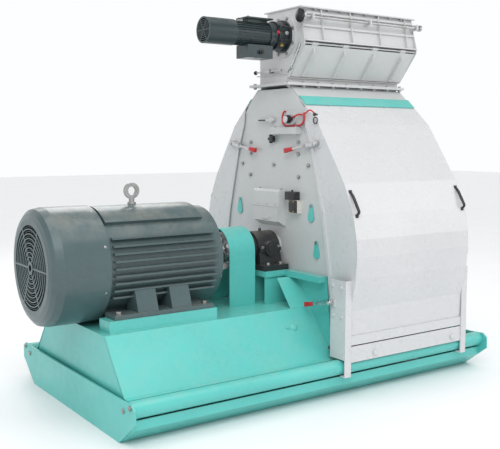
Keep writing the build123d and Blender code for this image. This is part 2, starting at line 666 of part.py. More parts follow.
# seam bar, bottom strips, legs, roller axles and clamp pivots
with BuildPart() as door_frame:
    seam_path = front(SEAM[1:-1]) + [(-637, 330)]
    slab(bent(seam_path, 24, -12), DOOR_X[0] - 8, DOOR_X[0])
    block(DOOR_X, (-STRIP_Y[1], -STRIP_Y[0]), (322, 378))
    block((64, 1092), (-STRIP_Y[1], -STRIP_Y[0]), (220, 315))
    block((56, 62), (-759, -632), (240, 705))
    block((1092, 1098), (-759, -672), (240, 705))
    for x in ((56, DOOR_X[0]), (DOOR_X[1], 1098)):
        block(x, (-765, -757), (146, 705))
        block(x, (-765, -726), (138, 146))
        block(x, (-757, -664), (300, 320))
    for y, z in ((-650, 668), (-724, 664), (-656, 494), (-728, 490)):
        rod(11, (49, 56), (y, z))
    for x in ROLLER_X:
        cross_rod(AXLE_R, (-STRIP_Y[0], -655), (x, ROLLER_Z))
        cross_rod(17, (-STRIP_Y[1] - 10, -STRIP_Y[1]), (x, ROLLER_Z))
    for clamp in CLAMPS.values():
        rod(PIVOT_R, (clamp["x"] - 12, clamp["seat_x"]), clamp["pivot"])
        y, z = clamp["pivot"]
        block((clamp["seat_x"] - 6, clamp["seat_x"]), (y - 24, y + 24), (z - 24, z + 24))
save_both(door_frame, "door_frame")

with BuildPart() as door_handles:
    for x in (DOOR_X[0] + 26, DOOR_X[1] - 26):
        handle(x)
save_both(door_handles, "door_handles")

for place, x in zip(("near", "far"), ROLLER_X):
    with BuildPart() as door_roller:
        roller(x)
    save_both(door_roller, f"{place}_roller")

with BuildPart() as upper_clamp:
    clamp_lever(CLAMPS["upper"])
save_both(upper_clamp, "upper_clamp")

with BuildPart() as lower_clamp:
    clamp_lever(CLAMPS["lower"])
save(lower_clamp, "front_lower_clamp")

# ------------------------------------------------------------------ fittings on the near end plate
with BuildPart() as plate_brackets:
    # inspection hood with an open front below the lid hinge
    side = [(MILL_X0, 1200), (HOOD_X + 14, 1200), (HOOD_X, 1186), (HOOD_X, 1000), (MILL_X0, 962)]
    for y in (HOOD_Y[0], HOOD_Y[1] - 4):
        web(side, y, y + 4)
    web([(MILL_X0, 1200), (HOOD_X + 14, 1200), (HOOD_X, 1186), (HOOD_X, 1096), (HOOD_X + 4, 1096),
         (HOOD_X + 4, 1184), (HOOD_X + 16, 1196), (MILL_X0, 1196)], HOOD_Y[0] + 4, HOOD_Y[1] - 4)
    web([(MILL_X0, 966), (HOOD_X, 1004), (HOOD_X, 1000), (MILL_X0, 962)], HOOD_Y[0] + 4, HOOD_Y[1] - 4)
    for y in (-90, 0, 90):
        web([(HOOD_X, 1110), (HOOD_X, 1104), (LID_AXIS[0], 1104), (LID_AXIS[0], 1110)], y - 8, y + 8)
    # bracket of the lock pin, with a round boss
    block((60, MILL_X0), (-284, -20), (1549, 1592))
    slab([(-310, 1592), (-310, 1670), (-285, 1695), (-150, 1695), (-120, 1660), (-120, 1592)], 96, MILL_X0)
    rod(34, (80, 96), LOCK_PIN)
    rod(LOCK_PIN_R + RUN_FIT, (70, MILL_X0 + 1), LOCK_PIN, mode=Mode.SUBTRACT)
save(plate_brackets, "plate_brackets")

with BuildPart() as inspection_lid:
    web([(HOOD_X - 4, 1092), (HOOD_X - 4, 996), (HOOD_X - 0.6, 996), (HOOD_X - 0.6, 1092)],
        HOOD_Y[0] + 2, HOOD_Y[1] - 2)
    cross_rod(LID_BARREL_R, (HOOD_Y[0] + 2, HOOD_Y[1] - 2), LID_AXIS)
    block((HOOD_X - 12, HOOD_X - 4), (-30, 40), (1010, 1022))
save(inspection_lid, "inspection_lid")

with BuildPart() as lock_pin:
    rod(LOCK_PIN_R, (50, 120), LOCK_PIN)
    rod(26, (30, 60), LOCK_PIN)
    rod(16, (60, 72), LOCK_PIN)
save(lock_pin, "lock_pin")

with BuildPart() as switch_body:
    block((72, MILL_X0), (-290, -205), (1061, 1140))
    block((66, 106), (-270, -174), (1140, 1191))
    post(6 + RUN_FIT, (1180, 1192), (86, -222), mode=Mode.SUBTRACT)
save(switch_body, "switch_body")

with BuildPart() as switch_plunger:
    post(6, (1184.5, 1203), (86, -222))
save(switch_plunger, "switch_plunger")

for name, (pivot_y, pivot_z) in zip(COVER_NAMES, COVER_SEATS):
    with BuildPart() as pin_cover:
        with BuildSketch(Plane.YZ.offset(102)) as drop:
            with Locations((pivot_y, pivot_z)):
                Circle(12)
            with Locations((pivot_y, pivot_z - COVER_LENGTH + 12)):
                Circle(27)
            make_hull()
        extrude(drop.sketch, amount=5)
        rod(5 + RUN_FIT, (100, 108), (pivot_y, pivot_z), mode=Mode.SUBTRACT)
    save(pin_cover, f"pin_cover_{name}")

with BuildPart() as flap_lock_knob:
    with BuildSketch(Plane.YZ.offset(76)) as star:
        with Locations(KNOB_SEAT):
            Circle(16)
            with PolarLocations(20, 5):
                Circle(9)
    extrude(star.sketch, amount=18)
    rod(8, (94, MILL_X0 - 0.2), KNOB_SEAT)
save(flap_lock_knob, "flap_lock_knob")

with BuildPart() as diverter_flap:
    rod(FLAP_SHAFT_R, (76, MILL_X1 - 2), DIVERTER_AXIS)
    block((CHAMBER_X[0] + 6, CHAMBER_X[1] - 6), (-4, 4), (DIVERTER_AXIS[1] - 120, DIVERTER_AXIS[1] - 6))
    block((82, 92), (-10, 150), (DIVERTER_AXIS[1] - 8, DIVERTER_AXIS[1] + 8))
    rod(18, (78, 98), DIVERTER_AXIS)
save(diverter_flap, "diverter_flap")

# bolts that hold the liners and the brackets, and the keepers of the clamps
with BuildPart() as liner_bolts:
    for side in (-1, 1):
        for y, z in ((255, 1500), (255, 1425), (260, 1283), (354, 1357), (370, 700), (200, 420), (430, 560)):
            if z > 1000:
                rod(11, (MILL_X0 - 8, MILL_X0), (side * y, z))
            rod(11, (MILL_X1, MILL_X1 + 8), (side * y, z))
    rod(11, (MILL_X0 - 8, MILL_X0), (0, 1356))
    for y, z in COVER_SEATS:
        rod(5, (98, MILL_X0), (y, z))
        rod(9, (96, 100), (y, z))
    for side, clamp in ((-1, CLAMPS["upper"]), (1, CLAMPS["upper"]), (-1, CLAMPS["lower"])):
        y, z = clamp_point(clamp, clamp["hook"], 0)
        rod(7, (clamp["x"] - 8, clamp["keeper_x"]), (-side * y, z))
save(liner_bolts, "liner_bolts")

with BuildPart() as frame_bolts:
    for side in (-1, 1):
        for x in MOTOR_BOLT_X:
            post(16, (RAIL_TOP + 24, RAIL_TOP + 40), (x, side * MOTOR_BOLT_Y))
            post(12, (RAIL_TOP, RAIL_TOP + 24), (x, side * MOTOR_BOLT_Y))
        for x in (HOUSING_X[0] + 45, HOUSING_X[1] - 45, 1112, 1216):
            post(15, (SHELF_Z[1] + 34, SHELF_Z[1] + 50), (x, side * 158))
        for x in (GUARD_X[0] + 30, GUARD_X[1] - 30):
            post(9, (DECK_Z + 6, DECK_Z + 14), (x, side * (GUARD_R - 28)))
        for y, z in ((663, 181), (740, 214)):
            for x in (-SKID_END - 8, SKID_END):
                rod(13, (x, x + 8), (side * y, z))
    # lifting eye on the motor
    post(16, (SHAFT_Z + FIN_R - 6, 1182), EYE_AT)
    post(24, (SHAFT_Z + FIN_R - 6, SHAFT_Z + FIN_R + 8), EYE_AT)
    with BuildSketch(Plane.XZ.offset(-10)) as eye:
        with Locations((EYE_AT[0], 1222)):
            Circle(46)
            Circle(25, mode=Mode.SUBTRACT)
    extrude(eye.sketch, amount=20)
save(frame_bolts, "frame_bolts")


# ------------------------------------------------------------------ roll feeder
def upper_wall_y(z):
    """Outer face of the front upper wall of the feeder at height z."""
    top, foot = FEED_TOP - 8, LEDGE[1] + 7
    return -262 + (LEDGE[0] + 262) * (top - z) / (top - foot)


with BuildPart() as feeder_casing:
    cheek = [(-262, FEED_TOP - 8), (60, FEED_TOP - 8), (68, 2240), (NECK_Y, 2050), (NECK_Y, 1868),
             (-NECK_Y, 1868), (-NECK_Y, 1902), (-166, 1902), (-318, 2090), (-318, LEDGE[1] + 7)]
    for x in (FEED_X[0], FEED_X[1] - 6):
        slab(cheek, x, x + 6)
    inside = (FEED_X[0] + 6, FEED_X[1] - 6)
    slab(bent([(-261.2, FEED_TOP - 4), (LEDGE[0], LEDGE[1] + 3)], 5), *inside)
    slab(bent([(NECK_Y, 1868), (NECK_Y, 2050), (68, 2240), (60, FEED_TOP - 4)], 5), *inside)
    slab(bent([(-NECK_Y, 1902), (-NECK_Y, 1868)], 5), *inside)
    block(inside, (-160, -NECK_Y + 2), (1896, 1904))
    block(inside, (-330, -290), (LEDGE[1] - 1, LEDGE[1] + 7))
    # flanges round the inlet and under the neck
    for y in ((-288, -258), (58, 88)):
        block((92, 1068), y, (FEED_TOP - 8, FEED_TOP))
    for x in ((92, 118), (1042, 1068)):
        block(x, (-258, 58), (FEED_TOP - 8, FEED_TOP))
        for y in (-275, 75):
            post(6, (FEED_TOP - 10, FEED_TOP + 1), (sum(x) / 2, y), mode=Mode.SUBTRACT)
    for y in ((-FLANGE_Y, -137), (137, FLANGE_Y)):
        block((60, 1060), y, (FLANGE_Z, FLANGE_Z + 8))
    for x in ((60, 106), (1054, 1060)):
        block(x, (-137, 137), (FLANGE_Z, FLANGE_Z + 8))
    for x in (85, 1045):
        for y in (-178, 178):
            post(7, (FLANGE_Z - 1, FLANGE_Z + 10), (x, y), mode=Mode.SUBTRACT)
    block((86, FEED_X[0]), (-NECK_Y - 20, NECK_Y + 20), (NECK_TOP - 10, NECK_TOP - 4))
    # rails and ribs on the front upper wall
    for z in (2285, 2205):
        y = upper_wall_y(z)
        block(inside, (y - 12, y + 3), (z - 7, z + 7))
    for x in (259, 497, 740, 980):
        slab([(upper_wall_y(FEED_TOP - 8) + 3, FEED_TOP - 6), (upper_wall_y(FEED_TOP - 8) - 18, FEED_TOP - 6),
              (upper_wall_y(2120) - 18, 2120), (upper_wall_y(2120) + 3, 2120)], x - 4, x + 4)
    # gate shaft brackets, magnet door hinge rod, gearmotor flange and far bearing
    for x in (150, 620, 1040):
        slab([(-344, 2236), (-344, 2274), (upper_wall_y(2274) + 3, 2274), (upper_wall_y(2236) + 3, 2236)], x - 5, x + 5)
    rod(10 + RUN_FIT, (140, 1050), GATE_AXIS, mode=Mode.SUBTRACT)
    rod(5, inside, HINGE_ROD)
    rod(128, (FEED_X[0] - 10, FEED_X[0]), (FEED_Y, FEED_Z))
    rod(48, (FEED_X[1], FEED_X[1] + 24), (FEED_Y, FEED_Z))
    rod(30, (FEED_X[0] - 11, FEED_X[0] + 7), (FEED_Y, FEED_Z), mode=Mode.SUBTRACT)
    rod(20 + RUN_FIT, (FEED_X[1] - 7, FEED_X[1] + 18), (FEED_Y, FEED_Z), mode=Mode.SUBTRACT)
    for x in (FEED_X[0] - 1, FEED_X[1] - 7):
        rod(FLAP_SHAFT_R + RUN_FIT, (x, x + 8), NECK_AXIS, mode=Mode.SUBTRACT)
save(feeder_casing, "feeder_casing")

with BuildPart() as magnet_door:
    panel = (FEED_X[0] + 8, FEED_X[1] - 8)
    slab(bent([(-304, 2087), (-168, 1908)], -5), *panel)
    for x in (190, 440, 690, 940):
        slab([(-298, 2071), (-303, 2044), (-200, 1909), (-177, 1912)], x - 4, x + 4)
        slab([(-309, 2106), (-299, 2106), (-299, 2080), (-309, 2090)], x - 24, x + 24)
        rod(9, (x - 24, x + 24), HINGE_ROD)
    slab([(-293, 2068), (-267, 2088), (-176, 1969), (-202, 1949)], 180, 980)
    rod(5 + RUN_FIT, panel, HINGE_ROD, mode=Mode.SUBTRACT)
save(magnet_door, "magnet_door")

with BuildPart() as gate_shaft:
    rod(10, (60, 1080), GATE_AXIS)
    tube(44, 34, (62, 76), GATE_AXIS)
    rod(18, (58, 84), GATE_AXIS)
    for angle in (0, 120, 240):
        with BuildSketch(Plane.YZ.offset(65)) as spoke:
            with Locations(GATE_AXIS):
                with PolarLocations(27, 1, start_angle=angle):
                    Rectangle(24, 8)
        extrude(spoke.sketch, amount=8)
    rod(20, (1064, 1084), GATE_AXIS)
save(gate_shaft, "gate_shaft")

with BuildPart() as feed_roll:
    rod(20, (32, FEED_X[1] + 16), (FEED_Y, FEED_Z))
    rod(62, (112, 1048), (FEED_Y, FEED_Z))
    for step in range(8):
        with BuildSketch(Plane.YZ.offset(112)) as paddle:
            with Locations((FEED_Y, FEED_Z)):
                with PolarLocations(82, 1, start_angle=step * 45):
                    Rectangle(50, 6)
        extrude(paddle.sketch, amount=936)
save(feed_roll, "feed_roll")

with BuildPart() as neck_flap:
    rod(FLAP_SHAFT_R, (58, FEED_X[1] - 1), NECK_AXIS)
    block((FEED_X[0] + 10, FEED_X[1] - 10), (-4, 4), (NECK_AXIS[1] - 72, NECK_AXIS[1] - 6))
    rod(16, (58, 76), NECK_AXIS)
    block((62, 72), (-130, 140), (NECK_AXIS[1] - 5, NECK_AXIS[1] + 5))
    with Locations((67, 146, NECK_AXIS[1])):
        Sphere(13)
save(neck_flap, "neck_flap")

# ------------------------------------------------------------------ feeder gearmotor
with BuildPart() as reducer_housing:
    rod(88, (4, 90), (FEED_Y, FEED_Z))
    rod(78, (-24, 4), (FEED_Y, FEED_Z))
    rod(100, (76, 90), (FEED_Y, FEED_Z))
    rod(20 + RUN_FIT, (30, 91), (FEED_Y, FEED_Z), mode=Mode.SUBTRACT)
    for angle in (35, 145, 205, 325):
        y, z = on_circle(82, angle, FEED_Z)
        rod(14, (10, 76), (y + FEED_Y, z))
save(reducer_housing, "reducer_housing")

with BuildPart() as feeder_motor:
    tube(66, 52, (-296, -24), (FEED_Y, FEED_Z))
    for step in range(28):
        with BuildSketch(Plane.YZ.offset(-290)) as fin:
            with Locations((FEED_Y, FEED_Z)):
                with PolarLocations(68, 1, start_angle=step * 360 / 28):
                    Rectangle(10, 4)
        extrude(fin.sketch, amount=240)
    tube(76, 12 + RUN_FIT, (-44, -24), (FEED_Y, FEED_Z))
    tube(66, 12 + RUN_FIT, (-306, -296), (FEED_Y, FEED_Z))
    # fan cowl with a ringed intake
    tube(77, 74, (-482, -290), (FEED_Y, FEED_Z))
    tube(77, 66, (-488, -482), (FEED_Y, FEED_Z))
    for radius in (56, 44, 32, 20):
        tube(radius + 2, radius - 2, (-488, -484), (FEED_Y, FEED_Z))
    for angle in (0, 60, 120):
        with BuildSketch(Plane.YZ.offset(-488)) as bar:
            with Locations((FEED_Y, FEED_Z)):
                Rectangle(136, 5, rotation=angle)
        extrude(bar.sketch, amount=4)
    # connection box below and cover plate above
    block((-214, -30), (FEED_Y - 62, FEED_Y + 62), (2004, 2082))
    block((-218, -26), (FEED_Y - 60, FEED_Y + 60), (2236, 2244))
    block((-190, -50), (FEED_Y - 30, FEED_Y + 30), (2216, 2236))
    rod(52, (-296, -44), (FEED_Y, FEED_Z), mode=Mode.SUBTRACT)
save(feeder_motor, "feeder_motor")

with BuildPart() as feeder_fan:
    rod(12, (-455, -26), (FEED_Y, FEED_Z))
    rod(44, (-260, -80), (FEED_Y, FEED_Z))
    tube(20, 12, (-440, -390), (FEED_Y, FEED_Z))
    for step in range(6):
        with BuildSketch(Plane.YZ.offset(-435)) as vane:
            with Locations((FEED_Y, FEED_Z)):
                with PolarLocations(40, 1, start_angle=step * 60):
                    Rectangle(44, 4)
        extrude(vane.sketch, amount=40)
save(feeder_fan, "feeder_fan")
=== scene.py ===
"""Looks of a skid-mounted hammer mill: finishes, small fittings, light and camera.

Lengths are metres in the machine's own frame: +X from the motor to the mill, +Y to the
back and +Z up, with the origin on the floor in the middle of the anchor holes.
"""

import json
import logging
import math
from dataclasses import dataclass, field
from enum import Enum
from typing import Callable, Iterable, Optional, Sequence

import bmesh
import bpy
from mathutils import Matrix, Vector

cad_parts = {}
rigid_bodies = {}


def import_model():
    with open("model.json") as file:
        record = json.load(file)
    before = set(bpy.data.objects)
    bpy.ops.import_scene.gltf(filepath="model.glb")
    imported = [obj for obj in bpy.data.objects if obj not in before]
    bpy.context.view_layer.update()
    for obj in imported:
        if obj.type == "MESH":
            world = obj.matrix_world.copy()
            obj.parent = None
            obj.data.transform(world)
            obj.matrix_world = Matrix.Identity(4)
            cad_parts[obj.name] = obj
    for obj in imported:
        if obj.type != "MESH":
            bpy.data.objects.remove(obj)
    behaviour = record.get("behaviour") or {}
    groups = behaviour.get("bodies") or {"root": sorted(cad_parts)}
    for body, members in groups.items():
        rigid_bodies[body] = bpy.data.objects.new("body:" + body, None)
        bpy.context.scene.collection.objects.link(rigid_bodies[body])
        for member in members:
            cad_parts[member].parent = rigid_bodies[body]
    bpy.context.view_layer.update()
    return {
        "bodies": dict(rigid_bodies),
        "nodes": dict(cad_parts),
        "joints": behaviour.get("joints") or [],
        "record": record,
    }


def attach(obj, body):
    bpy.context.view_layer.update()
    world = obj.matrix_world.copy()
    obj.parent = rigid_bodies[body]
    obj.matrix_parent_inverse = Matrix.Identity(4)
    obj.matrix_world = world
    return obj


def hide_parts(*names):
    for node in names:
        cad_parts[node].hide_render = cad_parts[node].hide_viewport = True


LOG = logging.getLogger("hammer_mill")

Colour = tuple[float, float, float]
Point = tuple[float, float, float]
Pair = tuple[float, float]


class Axis(Enum):
    """Directions in which a fitting can point."""

    X = (1.0, 0.0, 0.0)
    BACK_X = (-1.0, 0.0, 0.0)
    Y = (0.0, 1.0, 0.0)
    BACK_Y = (0.0, -1.0, 0.0)
    Z = (0.0, 0.0, 1.0)
    DOWN = (0.0, 0.0, -1.0)


# ------------------------------------------------------------------ node graph
class Graph:
    """A material's node tree with short calls for the nodes this machine needs."""

    def __init__(self, name: str) -> None:
        """Start an empty material with one shader.

        Args:
            name: Name of the material.
        """
        self.material = bpy.data.materials.new(name)
        self.material.use_nodes = True
        self.tree = self.material.node_tree
        self.tree.nodes.clear()
        self.output = self.tree.nodes.new("ShaderNodeOutputMaterial")
        self.shader = self.tree.nodes.new("ShaderNodeBsdfPrincipled")
        self.join(self.shader.outputs[0], self.output.inputs[0])
        self.place = self.tree.nodes.new("ShaderNodeTexCoord").outputs["Object"]

    def join(self, source: bpy.types.NodeSocket, target: bpy.types.NodeSocket) -> None:
        """Link one socket to another."""
        self.tree.links.new(source, target)

    def stretched(self, scale: Point) -> bpy.types.NodeSocket:
        """Give the place coordinates stretched by a scale along each axis.

        Args:
            scale: Factors along X, Y and Z.

        Returns:
            The vector socket.
        """
        mapping = self.tree.nodes.new("ShaderNodeMapping")
        mapping.inputs["Scale"].default_value = scale
        self.join(self.place, mapping.inputs["Vector"])
        return mapping.outputs["Vector"]

    def noise(self, size: float, detail: float = 3.0, rough: float = 0.55,
              vector: Optional[bpy.types.NodeSocket] = None) -> bpy.types.NodeSocket:
        """Add cloudy noise whose patches are about the given size.

        Args:
            size: Width of one patch in metres.
            detail: Octaves of smaller patches.
            rough: Strength of the smaller patches.
            vector: Coordinates to use in place of the plain ones.

        Returns:
            The value socket.
        """
        node = self.tree.nodes.new("ShaderNodeTexNoise")
        node.inputs["Scale"].default_value = 1.0 / size
        node.inputs["Detail"].default_value = detail
        node.inputs["Roughness"].default_value = rough
        self.join(vector or self.place, node.inputs["Vector"])
        return node.outputs[0]

    def spread(self, value: bpy.types.NodeSocket, low: float, high: float,
               to_low: float = 0.0, to_high: float = 1.0) -> bpy.types.NodeSocket:
        """Map a value from one range to another, held at the ends.

        Args:
            value: Socket to map.
            low: Start of the range read.
            high: End of the range read.
            to_low: Result at low.
            to_high: Result at high.

        Returns:
            The mapped value socket.
        """
        node = self.tree.nodes.new("ShaderNodeMapRange")
        node.inputs["From Min"].default_value = low
        node.inputs["From Max"].default_value = high
        node.inputs["To Min"].default_value = to_low
        node.inputs["To Max"].default_value = to_high
        self.join(value, node.inputs["Value"])
        return node.outputs[0]

    def product(self, first: bpy.types.NodeSocket, second: bpy.types.NodeSocket) -> bpy.types.NodeSocket:
        """Multiply two values.

        Args:
            first: One value.
            second: The other value.

        Returns:
            Their product.
        """
        node = self.tree.nodes.new("ShaderNodeMath")
        node.operation = "MULTIPLY"
        self.join(first, node.inputs[0])
        self.join(second, node.inputs[1])
        return node.outputs[0]

    def blend(self, share: bpy.types.NodeSocket, first: "Colour | bpy.types.NodeSocket",
              second: "Colour | bpy.types.NodeSocket") -> bpy.types.NodeSocket:
        """Mix two colours by a share from 0 to 1.

        Args:
            share: Socket with the share of the second colour.
            first: Colour or socket at 0.
            second: Colour or socket at 1.

        Returns:
            The colour socket.
        """
        node = self.tree.nodes.new("ShaderNodeMix")
        node.data_type = "RGBA"
        self.join(share, node.inputs[0])
        for value, socket in ((first, node.inputs[6]), (second, node.inputs[7])):
            if isinstance(value, tuple):
                socket.default_value = (*value, 1.0)
            else:
                self.join(value, socket)
        return node.outputs[2]

    def rounded(self, radius: float) -> bpy.types.NodeSocket:
        """Give normals that round every edge by a radius.

        Args:
            radius: Radius in metres.

        Returns:
            The normal socket.
        """
        node = self.tree.nodes.new("ShaderNodeBevel")
        node.samples = 4
        node.inputs["Radius"].default_value = radius
        return node.outputs[0]

    def edges(self, normal: bpy.types.NodeSocket) -> bpy.types.NodeSocket:
        """Find where rounded normals leave the true ones, which is along edges.

        Args:
            normal: Rounded normals.

        Returns:
            A value that is 0 on flats and rises to 1 on edges.
        """
        geometry = self.tree.nodes.new("ShaderNodeNewGeometry")
        node = self.tree.nodes.new("ShaderNodeVectorMath")
        node.operation = "DOT_PRODUCT"
        self.join(normal, node.inputs[0])
        self.join(geometry.outputs["Normal"], node.inputs[1])
        return self.spread(node.outputs["Value"], 0.995, 0.80)

    def upward(self) -> bpy.types.NodeSocket:
        """Give 1 on faces that look up and 0 on upright ones.

        Returns:
            The value socket.
        """
        geometry = self.tree.nodes.new("ShaderNodeNewGeometry")
        split = self.tree.nodes.new("ShaderNodeSeparateXYZ")
        self.join(geometry.outputs["Normal"], split.inputs[0])
        return self.spread(split.outputs["Z"], 0.45, 0.98)

    def bump(self, height: bpy.types.NodeSocket, strength: float, distance: float,
             normal: Optional[bpy.types.NodeSocket] = None) -> bpy.types.NodeSocket:
        """Add relief from a height value.

        Args:
            height: Height socket.
            strength: Share of the relief that shows.
            distance: Height of the relief in metres.
            normal: Normals to start from.

        Returns:
            The normal socket.
        """
        node = self.tree.nodes.new("ShaderNodeBump")
        node.inputs["Strength"].default_value = strength
        node.inputs["Distance"].default_value = distance
        self.join(height, node.inputs["Height"])
        if normal is not None:
            self.join(normal, node.inputs["Normal"])
        return node.outputs[0]


# ------------------------------------------------------------------ finishes
@dataclass(frozen=True)
class Enamel:
    """Sprayed paint on sheet steel or on a casting.

    Attributes:
        name: Name of the material.
        colour: Colour of the coat.
        shade: Colour of the patches where the coat is thicker.
        chip: Colour that shows where edges are rubbed.
        gloss: Roughness of clean paint.
        wear: Share of the edges that is rubbed.
        dust: Share of meal dust on faces that look up.
        casting: Height of the cast skin under the paint, in metres.
        coat: Strength of the clear top layer.
    """

    name: str
    colour: Colour
    shade: Colour
    chip: Colour
    gloss: float = 0.34
    wear: float = 0.35
    dust: float = 0.25
    casting: float = 0.0
    coat: float = 0.25

    def build(self) -> bpy.types.Material:
        """Make the material.

        Returns:
            The painted finish.
        """
        g = Graph(self.name)
        broad = g.spread(g.noise(0.45, 2.0), 0.35, 0.65)
        fine = g.noise(0.028, 4.0, 0.6)
        colour = g.blend(g.product(broad, g.spread(fine, 0.3, 0.7, 0.25, 0.8)), self.colour, self.shade)
        dusty = g.product(g.upward(), g.spread(g.noise(0.11, 5.0, 0.7), 0.38, 0.72, 0.0, self.dust))
        colour = g.blend(dusty, colour, (0.52, 0.47, 0.37))
        normal = g.rounded(0.0022)
        rubbed = g.product(g.edges(normal), g.spread(g.noise(0.014, 3.0, 0.7), 0.42, 0.66, 0.0, self.wear))
        colour = g.blend(rubbed, colour, self.chip)
        g.join(colour, g.shader.inputs["Base Color"])
        rough = g.spread(g.noise(0.07, 4.0, 0.65), 0.3, 0.7, self.gloss * 0.82, self.gloss * 1.3)
        g.join(rough, g.shader.inputs["Roughness"])
        normal = g.bump(g.noise(0.0035, 1.0), 0.05, 0.0002, normal)
        normal = g.bump(g.noise(0.16, 1.5), 0.14, 0.0014, normal)
        if self.casting:
            normal = g.bump(g.noise(0.006, 4.0, 0.7), 0.45, self.casting, normal)
        g.join(normal, g.shader.inputs["Normal"])
        g.shader.inputs["Coat Weight"].default_value = self.coat
        g.shader.inputs["Coat Roughness"].default_value = 0.12
        return g.material


@dataclass(frozen=True)
class Metal:
    """Bare or plated metal with a grain that runs one way.

    Attributes:
        name: Name of the material.
        colour: Colour of the metal.
        stain: Colour of oil and oxide patches.
        gloss: Roughness of the clean metal.
        grain: Stretch of the grain along X, Y and Z; the small factor is the long way.
        relief: Height of the grain in metres.
    """

    name: str
    colour: Colour
    stain: Colour
    gloss: float = 0.3
    grain: Point = (0.06, 1.0, 1.0)
    relief: float = 0.00012

    def build(self) -> bpy.types.Material:
        """Make the material.

        Returns:
            The metal finish.
        """
        g = Graph(self.name)
        lines = g.noise(0.0025, 2.0, 0.6, g.stretched(self.grain))
        patches = g.spread(g.noise(0.05, 4.0, 0.65), 0.42, 0.72, 0.0, 0.75)
        normal = g.rounded(0.0012)
        colour = g.blend(patches, self.colour, self.stain)
        bright = tuple(min(1.0, c * 1.25 + 0.05) for c in self.colour)
        colour = g.blend(g.product(g.edges(normal), g.spread(lines, 0.3, 0.7, 0.3, 0.9)), colour, bright)
        g.join(colour, g.shader.inputs["Base Color"])
        g.join(g.spread(lines, 0.3, 0.7, self.gloss * 0.75, self.gloss * 1.4), g.shader.inputs["Roughness"])
        g.join(g.bump(lines, 0.35, self.relief, normal), g.shader.inputs["Normal"])
        g.shader.inputs["Metallic"].default_value = 1.0
        return g.material


@dataclass(frozen=True)
class Moulded:
    """Moulded plastic or rubber with a fine matt grain.

    Attributes:
        name: Name of the material.
        colour: Colour of the plastic.
        worn: Colour of handled places.
        gloss: Roughness.
        grain: Size of the grain in metres.
        sheen: Strength of the soft sheen of rubber.
    """

    name: str
    colour: Colour
    worn: Colour
    gloss: float = 0.42
    grain: float = 0.0012
    sheen: float = 0.0

    def build(self) -> bpy.types.Material:
        """Make the material.

        Returns:
            The plastic or rubber finish.
        """
        g = Graph(self.name)
        normal = g.rounded(0.0012)
        handled = g.spread(g.noise(0.03, 4.0, 0.6), 0.4, 0.7, 0.05, 0.6)
        edge = g.product(g.edges(normal), g.spread(g.noise(0.01), 0.3, 0.6, 0.2, 0.8))
        colour = g.blend(edge, g.blend(handled, self.colour, self.worn), tuple(min(1.0, c * 1.6 + 0.02)
                                                                               for c in self.worn))
        g.join(colour, g.shader.inputs["Base Color"])
        rough = g.spread(handled, 0.0, 0.6, self.gloss * 1.15, self.gloss * 0.8)
        g.join(rough, g.shader.inputs["Roughness"])
        g.join(g.bump(g.noise(self.grain, 2.0), 0.3, 0.00015, normal), g.shader.inputs["Normal"])
        g.shader.inputs["Sheen Weight"].default_value = self.sheen
        return g.material


@dataclass(frozen=True)
class Perforated:
    """Punched wear steel: rows of round holes staggered between each other, not cut but painted near-black
    as painted shade.

    Attributes:
        name: Name of the material.
        colour: Colour of the sheet.
        pitch: Distance between holes in metres.
    """

    name: str
    colour: Colour
    pitch: float = 0.009

    def build(self) -> bpy.types.Material:
        """Make the material.

        Returns:
            The punched sheet finish.
        """
        g = Graph(self.name)
        cells = g.tree.nodes.new("ShaderNodeTexVoronoi")
        cells.inputs["Scale"].default_value = 1.0 / self.pitch
        cells.inputs["Randomness"].default_value = 0.0
        g.join(g.place, cells.inputs["Vector"])
        hole = g.spread(cells.outputs["Distance"], 0.30, 0.36)
        stained = g.blend(g.spread(g.noise(0.06, 4.0), 0.35, 0.7), self.colour, (0.16, 0.12, 0.09))
        # painted shade: the holes are coloured near-black for the dark seen through them
        g.join(g.blend(hole, (0.01, 0.01, 0.01), stained), g.shader.inputs["Base Color"])
        g.join(g.spread(g.noise(0.01), 0.3, 0.7, 0.3, 0.5), g.shader.inputs["Roughness"])
        g.join(g.bump(hole, 0.5, 0.001), g.shader.inputs["Normal"])
        g.shader.inputs["Metallic"].default_value = 0.8
        return g.material


